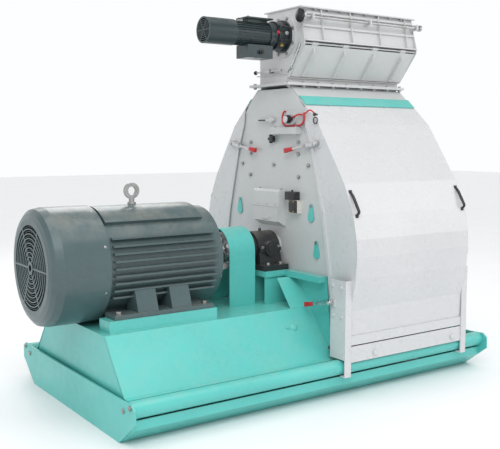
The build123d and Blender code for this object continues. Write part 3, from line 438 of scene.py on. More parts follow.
class Finish(Enum):
    """Every finish on the machine."""

    TEAL = Enamel("teal_enamel", (0.098, 0.505, 0.462), (0.070, 0.430, 0.394), (0.42, 0.62, 0.60),
                  gloss=0.36)
    WHITE = Enamel("white_enamel", (0.585, 0.590, 0.600), (0.550, 0.557, 0.568), (0.40, 0.40, 0.41),
                   gloss=0.28, dust=0.06)
    GREY = Enamel("light_grey_enamel", (0.540, 0.552, 0.555), (0.470, 0.482, 0.487), (0.28, 0.28, 0.28),
                  gloss=0.42, dust=0.2)
    FEED_GREY = Enamel("feeder_enamel", (0.560, 0.566, 0.566), (0.490, 0.497, 0.500), (0.30, 0.30, 0.30),
                       gloss=0.38, dust=0.2)
    MOTOR = Enamel("motor_enamel", (0.066, 0.106, 0.112), (0.046, 0.076, 0.082), (0.30, 0.33, 0.34),
                   gloss=0.34, casting=0.0007, dust=0.3)
    GEAR = Enamel("gearmotor_enamel", (0.018, 0.036, 0.040), (0.012, 0.026, 0.030), (0.26, 0.30, 0.31),
                  gloss=0.30, casting=0.0005, dust=0.25)
    REDUCER = Enamel("reducer_enamel", (0.008, 0.015, 0.019), (0.006, 0.011, 0.014), (0.20, 0.23, 0.24),
                     gloss=0.28, casting=0.0005, dust=0.12)
    BLACK_CAST = Enamel("black_cast_enamel", (0.014, 0.015, 0.017), (0.022, 0.023, 0.025),
                        (0.20, 0.20, 0.20), gloss=0.40, casting=0.0009, dust=0.2)
    SAFETY_RED = Enamel("safety_red_enamel", (0.560, 0.020, 0.022), (0.400, 0.012, 0.016),
                        (0.30, 0.22, 0.20), gloss=0.32, dust=0.0)
    RED_GRIP = Moulded("red_grip", (0.520, 0.016, 0.020), (0.360, 0.014, 0.018), gloss=0.36, grain=0.0016)
    BLACK_PLASTIC = Moulded("black_plastic", (0.012, 0.012, 0.013), (0.030, 0.030, 0.032), gloss=0.38)
    RUBBER = Moulded("black_rubber", (0.016, 0.016, 0.016), (0.034, 0.033, 0.032), gloss=0.72,
                     grain=0.0022, sheen=0.25)
    PALE_PLASTIC = Moulded("pale_plastic", (0.620, 0.610, 0.560), (0.500, 0.490, 0.450), gloss=0.45)
    ZINC = Metal("bright_zinc", (0.600, 0.610, 0.630), (0.420, 0.410, 0.380), gloss=0.24)
    BOLT = Metal("zinc_bolts", (0.420, 0.420, 0.420), (0.260, 0.240, 0.210), gloss=0.36)
    TURNED = Metal("turned_steel", (0.480, 0.480, 0.490), (0.300, 0.280, 0.250), gloss=0.26,
                   grain=(1.0, 0.12, 0.12))
    WEAR = Metal("wear_steel", (0.270, 0.265, 0.260), (0.170, 0.120, 0.085), gloss=0.48, relief=0.0004)
    BRASS = Metal("brass_plug", (0.640, 0.430, 0.140), (0.400, 0.270, 0.110), gloss=0.30)
    COPPER = Metal("varnished_windings", (0.300, 0.120, 0.050), (0.120, 0.060, 0.035), gloss=0.5)
    SCREEN = Perforated("punched_screen", (0.330, 0.330, 0.330))


class Paintshop:
    """Makes each finish once, hands it out and gives it to the machine's own nodes."""

    def __init__(self, frame: dict) -> None:
        """Start with no finish made.

        Args:
            frame: The loaded machine.
        """
        self.frame = frame
        self.made: dict[Finish, bpy.types.Material] = {}

    def get(self, finish: Finish) -> bpy.types.Material:
        """Give the material of a finish, making it on first use.

        Args:
            finish: Finish wanted.

        Returns:
            Its material.
        """
        if finish not in self.made:
            self.made[finish] = finish.value.build()
        return self.made[finish]

    def dress(self, nodes: Iterable[str], finish: Finish) -> None:
        """Give nodes of the machine their finish.

        Args:
            nodes: Names of the nodes.
            finish: Finish for all of them.
        """
        for name in nodes:
            piece = self.frame["nodes"][name]
            if not piece.material_slots:
                piece.data.materials.append(self.get(finish))
            for slot in piece.material_slots:
                slot.material = self.get(finish)


# ------------------------------------------------------------------ metalwork
def facing(place: Sequence[float], direction: Sequence[float]) -> Matrix:
    """Give the matrix that sets work at a place and turns its +Z to a direction.

    Args:
        place: Where the work's origin goes.
        direction: Where its +Z points.

    Returns:
        The matrix.
    """
    turn = Vector(direction).to_track_quat("Z", "Y").to_matrix().to_4x4()
    return Matrix.Translation(Vector(place)) @ turn


class Bench:
    """Collects mesh work for one piece and puts it on its body."""

    def __init__(self, name: str) -> None:
        """Start a piece.

        Args:
            name: Name of the piece.
        """
        self.name = name
        self.mesh = bmesh.new()

    def lathe(self, profile: Sequence[Pair], centre: Sequence[float], axis: Axis, sides: int = 40) -> None:
        """Turn a (radius, height) profile about an axis.

        Args:
            profile: Points from one end to the other; a radius of 0 closes the end.
            centre: Where height 0 is.
            axis: Direction of the height.
            sides: Faces round the axis.
        """
        matrix = facing(centre, axis.value)
        rings: list[list[bmesh.types.BMVert]] = []
        for radius, height in profile:
            if radius <= 0.0:
                rings.append([self.mesh.verts.new(matrix @ Vector((0.0, 0.0, height)))])
                continue
            ring = []
            for i in range(sides):
                angle = 2 * math.pi * i / sides
                point = Vector((radius * math.cos(angle), radius * math.sin(angle), height))
                ring.append(self.mesh.verts.new(matrix @ point))
            rings.append(ring)
        for low, high in zip(rings, rings[1:]):
            self._skin(low, high, sides)

    def _skin(self, low: list[bmesh.types.BMVert], high: list[bmesh.types.BMVert], sides: int) -> None:
        """Join two rings of a lathe, either of which may be a single point.

        Args:
            low: Points of the first ring.
            high: Points of the second ring.
            sides: Faces round the axis.
        """
        for i in range(sides):
            j = (i + 1) % sides
            corners = [low[0]] if len(low) == 1 else [low[i], low[j]]
            corners += [high[0]] if len(high) == 1 else [high[j], high[i]]
            if len(corners) > 2:
                self.mesh.faces.new(corners)

    def bolt(self, centre: Sequence[float], axis: Axis, across: float, height: float) -> None:
        """Add a chamfered hexagon head on a round washer.

        Args:
            centre: Middle of the washer's seat.
            axis: Direction in which the head stands.
            across: Width across the corners of the head.
            height: Height of the head.
        """
        washer, r = across * 0.66, across / 2
        self.lathe([(0.0, 0.0), (washer, 0.0), (washer, height * 0.16), (washer * 0.97, height * 0.2),
                    (0.0, height * 0.2)], centre, axis, 24)
        self.lathe([(0.0, height * 0.2), (r, height * 0.2), (r, height * 0.9), (r * 0.86, height),
                    (r * 0.5, height * 1.02), (0.0, height * 1.02)], centre, axis, 6)

    def bolt_circle(self, place: Point, ring: tuple[int, float, float], axis: Axis, across: float,
                    height: float) -> None:
        """Add bolts evenly round a point, in a plane across X.

        Args:
            place: Centre of the circle.
            ring: Number of bolts, radius of the circle and angle of the first bolt.
            axis: Direction in which the heads stand.
            across: Width across the corners of a head.
            height: Height of a head.
        """
        count, radius, first = ring
        for i in range(count):
            y, z = polar(radius, first + i * 360 / count, place[1], place[2])
            self.bolt((place[0], y, z), axis, across, height)

    def prism(self, outline: Sequence[Pair], start: float, end: float, bevel: float = 0.0) -> None:
        """Extrude a (y, z) outline along X and round its edges.

        Args:
            outline: Corners of the outline.
            start: Low end along X.
            end: High end along X.
            bevel: Radius of the rounded edges.
        """
        low = [self.mesh.verts.new((start, y, z)) for y, z in outline]
        high = [self.mesh.verts.new((end, y, z)) for y, z in outline]
        faces = [self.mesh.faces.new(low), self.mesh.faces.new(high)]
        for i in range(len(outline)):
            j = (i + 1) % len(outline)
            faces.append(self.mesh.faces.new((low[i], high[i], high[j], low[j])))
        if bevel:
            edges = {edge for face in faces for edge in face.edges}
            bmesh.ops.bevel(self.mesh, geom=list(edges), offset=bevel, segments=3, profile=0.6,
                            affect="EDGES", clamp_overlap=True)

    def block(self, low: Point, high: Point, bevel: float) -> None:
        """Add a box with rounded edges between two corners.

        Args:
            low: Low corner.
            high: High corner.
            bevel: Radius of the rounded edges.
        """
        outline = [(low[1], low[2]), (high[1], low[2]), (high[1], high[2]), (low[1], high[2])]
        self.prism(outline, low[0], high[0], bevel)

    def sweep(self, path: Sequence[Point], radius: Callable[[float], float] | float,
              sides: int = 14) -> None:
        """Draw a round bar along a path, with its corners rounded.

        Args:
            path: Corners of the path.
            radius: Radius, or a function of the share of the way along.
            sides: Faces round the bar.
        """
        line = rounded_path([Vector(p) for p in path], 0.016)
        total = sum((b - a).length for a, b in zip(line, line[1:]))
        rings, run = [], 0.0
        side = Vector((0.0, 0.0, 1.0))
        for i, point in enumerate(line):
            if i:
                run += (point - line[i - 1]).length
            ahead = line[min(i + 1, len(line) - 1)] - line[max(i - 1, 0)]
            if abs(ahead.normalized().dot(side)) > 0.98:
                flat = abs(ahead.normalized().x) < 0.9
                side = Vector((1.0, 0.0, 0.0)) if flat else Vector((0.0, 1.0, 0.0))
            across = ahead.cross(side).normalized()
            side = across.cross(ahead).normalized()
            r = radius(run / total) if callable(radius) else radius
            ring = []
            for k in range(sides):
                angle = 2 * math.pi * k / sides
                out = across * math.cos(angle) + side * math.sin(angle)
                ring.append(self.mesh.verts.new(point + out * r))
            rings.append(ring)
        for low, high in zip(rings, rings[1:]):
            self._skin(low, high, sides)
        for ring in (rings[0], rings[-1]):
            self.mesh.faces.new(ring)

    def absorb(self, part: bmesh.types.BMesh, matrix: Matrix) -> None:
        """Take over a mesh made apart.

        Args:
            part: The mesh, which is used up.
            matrix: Where it goes.
        """
        part.transform(matrix)
        spare = bpy.data.meshes.new(self.name)
        part.to_mesh(spare)
        part.free()
        self.mesh.from_mesh(spare)
        bpy.data.meshes.remove(spare)

    def done(self, material: bpy.types.Material, body: str) -> bpy.types.Object:
        """Turn the work into a piece that rides on a body.

        Args:
            material: Its finish.
            body: Body it moves with.

        Returns:
            The finished piece.
        """
        bmesh.ops.recalc_face_normals(self.mesh, faces=self.mesh.faces)
        data = bpy.data.meshes.new(self.name)
        self.mesh.to_mesh(data)
        self.mesh.free()
        data.materials.append(material)
        data.shade_smooth()
        data.set_sharp_from_angle(angle=math.radians(38))
        piece = bpy.data.objects.new(self.name, data)
        bpy.context.scene.collection.objects.link(piece)
        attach(piece, body)
        LOG.info("made %s on %s", self.name, body)
        return piece


def rounded_path(points: list[Vector], radius: float) -> list[Vector]:
    """Round the corners of a path.

    Args:
        points: Corners of the path.
        radius: Length of each side that is taken by the curve.

    Returns:
        Points along the rounded path.
    """
    line = [points[0]]
    for before, corner, after in zip(points, points[1:], points[2:]):
        reach = min(radius, (corner - before).length * 0.45, (after - corner).length * 0.45)
        start = corner + (before - corner).normalized() * reach
        end = corner + (after - corner).normalized() * reach
        for step in range(6):
            t = step / 5
            line.append(start * (1 - t) ** 2 + corner * 2 * t * (1 - t) + end * t**2)
    line.append(points[-1])
    return line


def polar(radius: float, degrees: float, y: float, z: float) -> Pair:
    """(y, z) of a point on a circle, with the angle from +Y towards +Z.

    Args:
        radius: Radius of the circle.
        degrees: Angle of the point.
        y: Centre across.
        z: Height of the centre.

    Returns:
        The point.
    """
    angle = math.radians(degrees)
    return y + radius * math.cos(angle), z + radius * math.sin(angle)


# ------------------------------------------------------------------ sub-assemblies
@dataclass
class Assembly:
    """Part of the machine that builds its own fittings and dresses its own nodes.

    Attributes:
        paint: Shop that gives every finish.
    """

    paint: Paintshop

    def fit(self, bench: Bench, finish: Finish, body: str, slot: str) -> bpy.types.Object:
        """Finish a piece and set it on its body.

        Args:
            bench: The piece's mesh work.
            finish: Its finish.
            body: Body it moves with.
            slot: Name of a material slot in the record; not used.

        Returns:
            The finished piece.
        """
        return bench.done(self.paint.get(finish), body)

    def build(self) -> None:
        """Make the fittings."""

    def dress(self) -> None:
        """Finish the nodes, where the assembly has its own."""


@dataclass
class Skid(Assembly):
    """Skid, rail pipes, base box and bearing stands.

    Attributes:
        painted: CAD nodes in the machine's teal.
        slope_foot: (y, z) of the lower corner of the base box's side.
        slope_head: (y, z) of its upper corner.
        cover_x: Station of the round cover on the sloped side.
        cover_r: Radius of that cover.
        cover_share: Share of the way down the slope to that cover.
        stop_low: Low corner of the rubber stop under the front door.
        stop_high: High corner of that stop.
        bead_runs: (y, start, end, radius) of the weld beads on one half of the deck.
    """

    painted: tuple[str, ...] = (
        "skid_frame", "rail_pipes", "base_box", "bearing_pedestals", "coupling_guard", "door_guides",
        "pin_cover_front", "pin_cover_back", "pin_cover_side")
    slope_foot: Pair = (-0.612, 0.222)
    slope_head: Pair = (-0.390, 0.496)
    cover_x: float = -0.085
    cover_r: float = 0.024
    cover_share: float = 0.34
    stop_low: Point = (0.058, -0.681, 0.279)
    stop_high: Point = (0.094, -0.610, 0.298)
    bead_runs: tuple[tuple[float, float, float, float], ...] = (
        (0.235, -1.228, -0.560, 0.004), (0.362, -1.228, -0.560, 0.004), (0.386, -0.052, 0.096, 0.004),
        (0.054, -0.092, 0.094, 0.0035), (0.176, -0.092, 0.094, 0.0035))

    def build(self) -> None:
        """Add the small fittings of the skid."""
        self.beads()
        self.cover()
        stop = Bench("rubber_stop")
        stop.block(self.stop_low, self.stop_high, 0.003)
        self.fit(stop, Finish.RUBBER, "front_door", "black_plastic")

    def beads(self) -> None:
        """Lay weld beads where the stands and bars meet the deck."""
        bead = Bench("weld_beads")
        deck = self.slope_head[1] + 0.001
        for side in (-1, 1):
            for y, start, end, radius in self.bead_runs:
                bead.sweep([(start, side * y, deck), (end, side * y, deck)], self.ripple(radius), 8)
        self.fit(bead, Finish.TEAL, "frame", "teal_paint")

    def ripple(self, radius: float) -> Callable[[float], float]:
        """Give the uneven radius of a hand-laid bead.

        Args:
            radius: Its mean radius.

        Returns:
            Radius as a function of the share of the way along.
        """
        return lambda share: radius * (1.0 + 0.16 * math.sin(share * 211.0) + 0.10 * math.sin(share * 67.0))

    def cover(self) -> None:
        """Set the round cover and its bolt on the sloped side."""
        share = self.cover_share
        (y0, z0), (y1, z1) = self.slope_head, self.slope_foot
        run, fall = y1 - y0, z1 - z0
        outward = Vector((0.0, fall, -run)).normalized()
        plug = Bench("base_cover")
        r = self.cover_r
        plug.lathe([(0.0, -0.004), (r, -0.004), (r, 0.004), (r * 0.8, 0.007), (0.0, 0.008)],
                   (0.0, 0.0, 0.0), Axis.Z, 32)
        plug.bolt((-0.048, 0.0, 0.001), Axis.Z, 0.018, 0.007)
        plug.mesh.transform(facing((self.cover_x, y0 + run * share, z0 + fall * share), outward))
        self.fit(plug, Finish.TEAL, "frame", "teal_paint")

    def dress(self) -> None:
        """Paint the skid's own nodes."""
        self.paint.dress(self.painted, Finish.TEAL)
        self.paint.dress(("frame_bolts",), Finish.BOLT)


@dataclass
class DriveMotor(Assembly):
    """Ribbed drive motor with its fan cowl, coupling and lifting eye.

    Attributes:
        shaft_z: Height of the shaft.
        cowl_x: Intake end and frame end of the cowl.
        screw_inset: Distance of the cowl's screws from its frame end.
        screw_r: Radius at which the cowl's screws sit.
        shield_bolt_r: Radius of the bolt circle on the drive-end shield.
        rib_count: Ribs on the drive-end shield.
        rib_outline: (x, radius) corners of one rib.
        rib_half: Half the thickness of a rib.
        wire_rings: Number of wire rings over the intake.
        wire_start: Radius of the smallest ring.
        wire_pitch: Step from ring to ring.
    """

    shaft_z: float = 0.826
    cowl_x: Pair = (-1.516, -1.190)
    screw_inset: float = 0.024
    screw_r: float = 0.3205
    shield_bolt_r: float = 0.279
    rib_count: int = 8
    rib_outline: tuple[Pair, ...] = ((-0.472, 0.276), (-0.458, 0.270), (-0.416, 0.200), (-0.400, 0.126),
                                     (-0.400, 0.100), (-0.450, 0.100))
    rib_half: float = 0.005
    wire_rings: int = 15
    wire_start: float = 0.048
    wire_pitch: float = 0.0125

    def build(self) -> None:
        """Add bolts, ribs and the intake's wire rings."""
        self.shield_bolts()
        self.shield_ribs()
        self.cowl_screws()
        self.intake()

    def shield_bolts(self) -> None:
        """Bolt the drive-end shield to the frame."""
        bolts = Bench("shield_bolts")
        bolts.bolt_circle((-0.476, 0.0, self.shaft_z), (8, self.shield_bolt_r, 22.5), Axis.X, 0.026, 0.011)
        bolts.bolt_circle((-0.396, 0.0, self.shaft_z), (4, 0.088, 45.0), Axis.X, 0.017, 0.008)
        self.fit(bolts, Finish.BOLT, "frame", "bolt_steel")

    def shield_ribs(self) -> None:
        """Cast ribs that run out from the bearing boss."""
        ribs = Bench("shield_ribs")
        for i in range(self.rib_count):
            turn = Matrix.Rotation(math.radians(i * 360 / self.rib_count), 4, "X")
            rib = bmesh.new()
            low = [rib.verts.new((x, -self.rib_half, z)) for x, z in self.rib_outline]
            high = [rib.verts.new((x, self.rib_half, z)) for x, z in self.rib_outline]
            rib.faces.new(low)
            rib.faces.new(high)
            for a in range(len(low)):
                b = (a + 1) % len(low)
                rib.faces.new((low[a], high[a], high[b], low[b]))
            bmesh.ops.bevel(rib, geom=list(rib.edges), offset=0.002, segments=2, affect="EDGES")
            ribs.absorb(rib, Matrix.Translation(Vector((0.0, 0.0, self.shaft_z))) @ turn)
        self.fit(ribs, Finish.MOTOR, "frame", "motor_paint")

    def cowl_screws(self) -> None:
        """Hold the cowl with screws round its frame end."""
        screws = Bench("cowl_screws")
        for i in range(8):
            angle = math.radians(22.5 + i * 45)
            out = Vector((0.0, math.cos(angle), math.sin(angle)))
            head = Bench("screw")
            head.lathe([(0.0, 0.0), (0.010, 0.0), (0.010, 0.002), (0.007, 0.0045), (0.0, 0.0052)],
                       (0.0, 0.0, 0.0), Axis.Z, 20)
            place = Vector((self.cowl_x[1] - self.screw_inset, 0.0, self.shaft_z)) + out * self.screw_r
            screws.absorb(head.mesh, facing(place, out))
        self.fit(screws, Finish.BOLT, "frame", "bolt_steel")

    def intake(self) -> None:
        """Close the intake with fine rings of wire and a domed hub."""
        rings = Bench("intake_rings")
        x = self.cowl_x[0] + 0.005
        for ring in range(self.wire_rings):
            radius, points = self.wire_start + self.wire_pitch * ring, []
            for i in range(65):
                y, z = polar(radius, i * 360 / 64, 0.0, self.shaft_z)
                points.append((x, y, z))
            rings.sweep(points, 0.0016, 6)
        rings.lathe([(0.0, 0.0), (0.036, 0.0), (0.034, 0.0015), (0.018, 0.002), (0.0, 0.002)],
                    (self.cowl_x[0], 0.0, self.shaft_z), Axis.BACK_X, 40)
        self.fit(rings, Finish.MOTOR, "frame", "motor_paint")

    def dress(self) -> None:
        """Paint the motor's own nodes."""
        self.paint.dress(("motor_frame", "motor_end_shields", "fan_cowl"), Finish.MOTOR)
        self.paint.dress(("stator_core",), Finish.COPPER)
        self.paint.dress(("cooling_fan",), Finish.BLACK_PLASTIC)
        self.paint.dress(("motor_rotor", "coupling_halves"), Finish.TURNED)


@dataclass
class Bearings(Assembly):
    """Split bearing housings with cap bolts and grease nipples.

    Attributes:
        shaft_z: Height of the shaft.
        spans: Ends of each housing along X.
        lug_y: Half-width of the joint flange.
    """

    shaft_z: float = 0.826
    spans: tuple[Pair, ...] = ((-0.098, 0.088), (1.072, 1.256))
    lug_y: float = 0.116

    def build(self) -> None:
        """Add the cap bolts, end cover bolts and nipples."""
        bolts = Bench("housing_bolts")
        for low, high in self.spans:
            for x in (low + 0.034, high - 0.034):
                for side in (-1, 1):
                    bolts.bolt((x, side * self.lug_y, self.shaft_z + 0.012), Axis.Z, 0.022, 0.012)
            bolts.bolt_circle((low, 0.0, self.shaft_z), (6, 0.072, 30.0), Axis.BACK_X, 0.014, 0.006)
            middle = (low + high) / 2
            bolts.lathe([(0.0, 0.0), (0.006, 0.0), (0.006, 0.006), (0.0035, 0.010), (0.0045, 0.014),
                         (0.0, 0.017)], (middle, 0.0, self.shaft_z + 0.124), Axis.Z, 16)
        self.fit(bolts, Finish.BOLT, "frame", "bolt_steel")

    def dress(self) -> None:
        """Paint the housings."""
        self.paint.dress(("bearing_housings",), Finish.BLACK_CAST)


@dataclass
class MillHousing(Assembly):
    """End plates, roof, guides and everything fixed to the near end plate.

    Attributes:
        plate_x: Near face of the near end plate.
        lock_pin: (y, z) of the lock pin.
        stay: (y, z) corners of the red guard wire round the pin.
        flange_z: Top of the flange under the feeder.
        flange_y: Bolt line of that flange.
        flange_bolts_each: Bolts along each side of it.
        keepers: (y, z) of the liner screws on one half of the plate.
        hood_screws: Stations across of the screws on the hood.
        bracket_screws: Stations across of the screws on the lock bracket.
    """

    plate_x: float = 0.110
    lock_pin: Pair = (-0.220, 1.640)
    stay: tuple[Pair, ...] = ((-0.130, 1.690), (-0.116, 1.666), (-0.114, 1.630), (-0.130, 1.606),
                              (-0.162, 1.599), (-0.288, 1.599), (-0.318, 1.610), (-0.334, 1.640),
                              (-0.327, 1.674))
    flange_z: float = 1.868
    flange_y: float = 0.178
    flange_bolts_each: int = 9
    keepers: tuple[Pair, ...] = ((0.255, 1.500), (0.255, 1.425), (0.260, 1.283), (0.354, 1.357),
                                 (0.0, 1.356))
    hood_screws: Pair = (-0.105, 0.128)
    bracket_screws: Pair = (-0.262, -0.042)

    def build(self) -> None:
        """Bend the guard wire and add the small fittings of the near end plate."""
        wire = Bench("lock_guard_wire")
        (y0, z0), (y1, z1) = self.stay[0], self.stay[-1]
        loop = [(0.102, y0, z0), *((0.088, y, z) for y, z in self.stay), (0.102, y1, z1)]
        wire.sweep(loop, 0.0062)
        wire.sweep([(0.074, -0.236, 1.650), (0.076, -0.290, 1.668), (0.086, -0.329, 1.664)], 0.0052)
        self.fit(wire, Finish.SAFETY_RED, "frame", "bolt_steel")
        self.flange_bolts()
        self.plate_screws()
        self.pin_cap()
        self.paint_slot_shade()

    def flange_bolts(self) -> None:
        """Bolt the feeder down along both sides of its flange."""
        bolts = Bench("flange_bolts")
        for side in (-1, 1):
            for i in range(self.flange_bolts_each):
                x = 0.085 + i * 0.120
                bolts.bolt((x, side * self.flange_y, self.flange_z), Axis.Z, 0.022, 0.010)
                bolts.bolt((x, side * self.flange_y, self.flange_z - 0.016), Axis.DOWN, 0.022, 0.012)
        self.fit(bolts, Finish.BOLT, "frame", "bolt_steel")

    def plate_screws(self) -> None:
        """Set the screws of the liner keepers, the hood and the lock bracket."""
        screws = Bench("plate_screws")
        for y, z in self.keepers:
            for side in ((-1, 1) if y else (1,)):
                screws.bolt((self.plate_x - 0.008, side * y, z), Axis.BACK_X, 0.020, 0.006)
        for y in self.hood_screws:
            screws.bolt((0.090, y, 1.200), Axis.Z, 0.014, 0.006)
        for y in self.bracket_screws:
            screws.bolt((0.084, y, 1.592), Axis.Z, 0.016, 0.007)
        self.fit(screws, Finish.BOLT, "frame", "bolt_steel")

    def pin_cap(self) -> None:
        """Cap the lock pin with a plated disc."""
        cap = Bench("lock_pin_cap")
        y, z = self.lock_pin
        cap.lathe([(0.0, 0.0), (0.020, 0.0), (0.0235, 0.0008), (0.0225, 0.0016), (0.012, 0.0018),
                   (0.0, 0.0018)], (0.0302, y, z), Axis.BACK_X, 40)
        self.fit(cap, Finish.ZINC, "pull_pin", "black_plastic")

    def paint_slot_shade(self) -> None:
        """Paint the shade in the slot of the diverter's hand lever with a thin black sheet."""
        slot_shade_sheet = Bench("diverter_slot_shade")
        # painted shade: a thin black sheet stands for the shade inside the lever's slot
        slot_shade_sheet.block((0.0812, 0.060, 1.6355), (0.0822, 0.138, 1.6445), 0.0004)
        self.fit(slot_shade_sheet, Finish.BLACK_PLASTIC, "diverter", "black_plastic")

    def dress(self) -> None:
        """Paint the housing and finish what is inside it."""
        self.paint.dress(("mill_end_plates", "mill_roof", "plate_brackets", "inspection_lid"), Finish.GREY)
        self.paint.dress(("switch_body",), Finish.PALE_PLASTIC)
        self.paint.dress(("flap_lock_knob", "switch_plunger", "lock_pin"), Finish.BLACK_PLASTIC)
        self.paint.dress(("liner_bolts",), Finish.BOLT)
        self.paint.dress(("mill_shaft", "hammer_pins"), Finish.TURNED)
        self.paint.dress(("diverter_flap",), Finish.FEED_GREY)
        self.paint.dress(("screens",), Finish.SCREEN)
        self.paint.dress(("rotor_discs", "hammer_row_1", "hammer_row_2", "hammer_row_3", "hammer_row_4",
                            "screen_frames", "wear_liners", "discharge_hopper"), Finish.WEAR)


@dataclass
class LimitSwitch(Assembly):
    """Black head and pale body of the door switch.

    Attributes:
        head_low: Low corner of the head.
        head_high: High corner of the head.
        side_low: Low corner of the dark near side.
        side_high: High corner of the dark near side.
        screw_y: Stations across of the near side's screws.
        screw_z: Heights of those screws.
    """

    head_low: Point = (0.0640, -0.272, 1.1405)
    head_high: Point = (0.1075, -0.172, 1.1922)
    side_low: Point = (0.0704, -0.2895, 1.0630)
    side_high: Point = (0.0780, -0.2045, 1.1390)
    screw_y: Pair = (-0.252, -0.214)
    screw_z: Pair = (1.070, 1.131)

    def build(self) -> None:
        """Cover the head and the near side in black and add the screws."""
        head = Bench("switch_head")
        head.block(self.head_low, self.head_high, 0.004)
        self.fit(head, Finish.BLACK_PLASTIC, "frame", "black_plastic")
        side = Bench("switch_side")
        side.block(self.side_low, self.side_high, 0.002)
        self.fit(side, Finish.BLACK_PLASTIC, "frame", "black_plastic")
        screws = Bench("switch_screws")
        for z in self.screw_z:
            for y in self.screw_y:
                screws.lathe([(0.0, 0.0), (0.0045, 0.0), (0.004, 0.0018), (0.0, 0.002)],
                             (self.side_low[0], y, z), Axis.BACK_X, 16)
        self.fit(screws, Finish.BRASS, "frame", "bolt_steel")


@dataclass
class Doors(Assembly):
    """Sliding doors with black bow handles and grooved wheels.

    Attributes:
        handle_x: Stations of the handles.
        handle_z: Lower and upper foot of a handle.
        foot_y: Half-width of the skin at the lower and upper foot.
        reach: How far a handle stands out.
    """

    handle_x: Pair = (0.130, 1.025)
    handle_z: Pair = (1.080, 1.216)
    foot_y: Pair = (0.768, 0.708)
    reach: float = 0.030

    def build(self) -> None:
        """Make the bow handles of both doors."""
        for side, name in ((-1, "front"), (1, "back")):
            grip = Bench(f"{name}_bow_handles")
            for x in self.handle_x:
                self.handle(grip, x, side)
            piece = self.fit(grip, Finish.BLACK_PLASTIC, f"{name}_door", "black_plastic")
            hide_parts(f"{name}_door_handles")

    def handle(self, grip: Bench, x: float, side: int) -> None:
        """Bend one bow handle with flat feet.

        Args:
            grip: Piece to add to.
            x: Station of the handle.
            side: -1 for the front door and 1 for the back door.
        """
        low, high = self.handle_z
        y_low, y_high = self.foot_y
        bow = [(y_high + 0.002, high - 0.002), (y_high + self.reach - 0.004, high - 0.024),
               (y_low + self.reach - 0.007, low + 0.020), (y_low + 0.002, low + 0.002)]
        grip.sweep([(x, side * y, z) for y, z in bow],
                   lambda share: 0.0075 + 0.0015 * math.sin(math.pi * share), 16)
        for y, z in ((y_high, high), (y_low, low)):
            grip.block((x - 0.011, min(side * (y - 0.001), side * (y + 0.006)), z - 0.012),
                       (x + 0.011, max(side * (y - 0.001), side * (y + 0.006)), z + 0.008), 0.002)

    def dress(self) -> None:
        """Paint the doors and their frames."""
        for name in ("front", "back"):
            self.paint.dress((f"{name}_door_shell", f"{name}_door_frame"), Finish.WHITE)
            self.paint.dress((f"{name}_near_roller", f"{name}_far_roller"), Finish.TURNED)


@dataclass
class ToggleClamp(Assembly):
    """Red grip, pivot nut and adjusting screw on one toggle clamp.

    Attributes:
        name: Place of the clamp, which starts the names of its node and its body.
        pivot: (y, z) of the pivot.
        reach: Length from the pivot to the end of the grip.
        droop: Slope of the arm in degrees.
        x: Station of the arm.
        hook: Distance from the pivot to the hook.
        side: 1 where the arm points to +Y and -1 where it points to -Y.
    """

    name: str
    pivot: Pair
    reach: float
    droop: float
    x: float
    hook: float
    side: int

    def at(self, along: float, across: float = 0.0) -> Pair:
        """Give (y, z) of a point from the pivot along the arm and across it.

        Args:
            along: Distance along the arm.
            across: Distance across it.

        Returns:
            The point.
        """
        slope = math.radians(self.droop)
        y = math.cos(slope) * along + math.sin(slope) * across
        z = math.cos(slope) * across - math.sin(slope) * along
        return self.pivot[0] + self.side * y, self.pivot[1] + z

    def build(self) -> None:
        """Add the grip sleeve and the clamp's screws."""
        grip = Bench(f"{self.name}_clamp_grip")
        start, end = self.reach - 0.068, self.reach + 0.0015
        neck, flare = 0.0115, 0.0150
        outline = [self.at(start, -neck), self.at(start, neck), self.at(end, flare), self.at(end, -flare)]
        grip.prism(outline, self.x - 0.0138, self.x + 0.0076, 0.004)
        self.fit(grip, Finish.RED_GRIP, f"{self.name}_lever", "black_plastic")
        nuts = Bench(f"{self.name}_clamp_nuts")
        nuts.bolt((self.x - 0.006, *self.at(0.0)), Axis.BACK_X, 0.024, 0.005)
        nuts.bolt((self.x, *self.at(self.hook, -0.004)), Axis.BACK_X, 0.012, 0.004)
        self.fit(nuts, Finish.ZINC, f"{self.name}_lever", "chrome")

    def dress(self) -> None:
        """Plate the lever."""
        self.paint.dress((f"{self.name}_clamp",), Finish.ZINC)


@dataclass
class DoorLatch(Assembly):
    """Ring and hook that tie the front door to the guard wire.

    Attributes:
        ring: (y, z) of the ring's centre.
        ring_r: Radius of the ring.
        hook: (y, z) of the stud that holds the hook.
    """

    ring: Pair = (-0.434, 1.628)
    ring_r: float = 0.019
    hook: Pair = (-0.426, 1.664)

    def build(self) -> None:
        """Bend the ring and the hook."""
        ring = Bench("door_ring")
        points = []
        for i in range(33):
            y, z = polar(self.ring_r, i * 360 / 32, *self.ring)
            points.append((0.093, y, z))
        ring.sweep(points, 0.0035, 10)
        self.fit(ring, Finish.BLACK_CAST, "front_door", "black_casting")
        hook = Bench("door_hook")
        y, z = self.hook
        hook.sweep([(0.086, y + 0.078, z + 0.008), (0.080, y + 0.050, z + 0.022),
                    (0.082, y + 0.022, z + 0.028), (0.094, y + 0.002, z + 0.006)], 0.0045, 12)
        self.fit(hook, Finish.SAFETY_RED, "front_door", "bolt_steel")
        stud = Bench("door_stud")
        stud.lathe([(0.0, 0.0), (0.008, 0.0012), (0.011, 0.006), (0.011, 0.012), (0.007, 0.017),
                    (0.005, 0.030), (0.0, 0.030)], (0.084, y, z), Axis.X, 28)
        self.fit(stud, Finish.BLACK_PLASTIC, "front_door", "black_plastic")


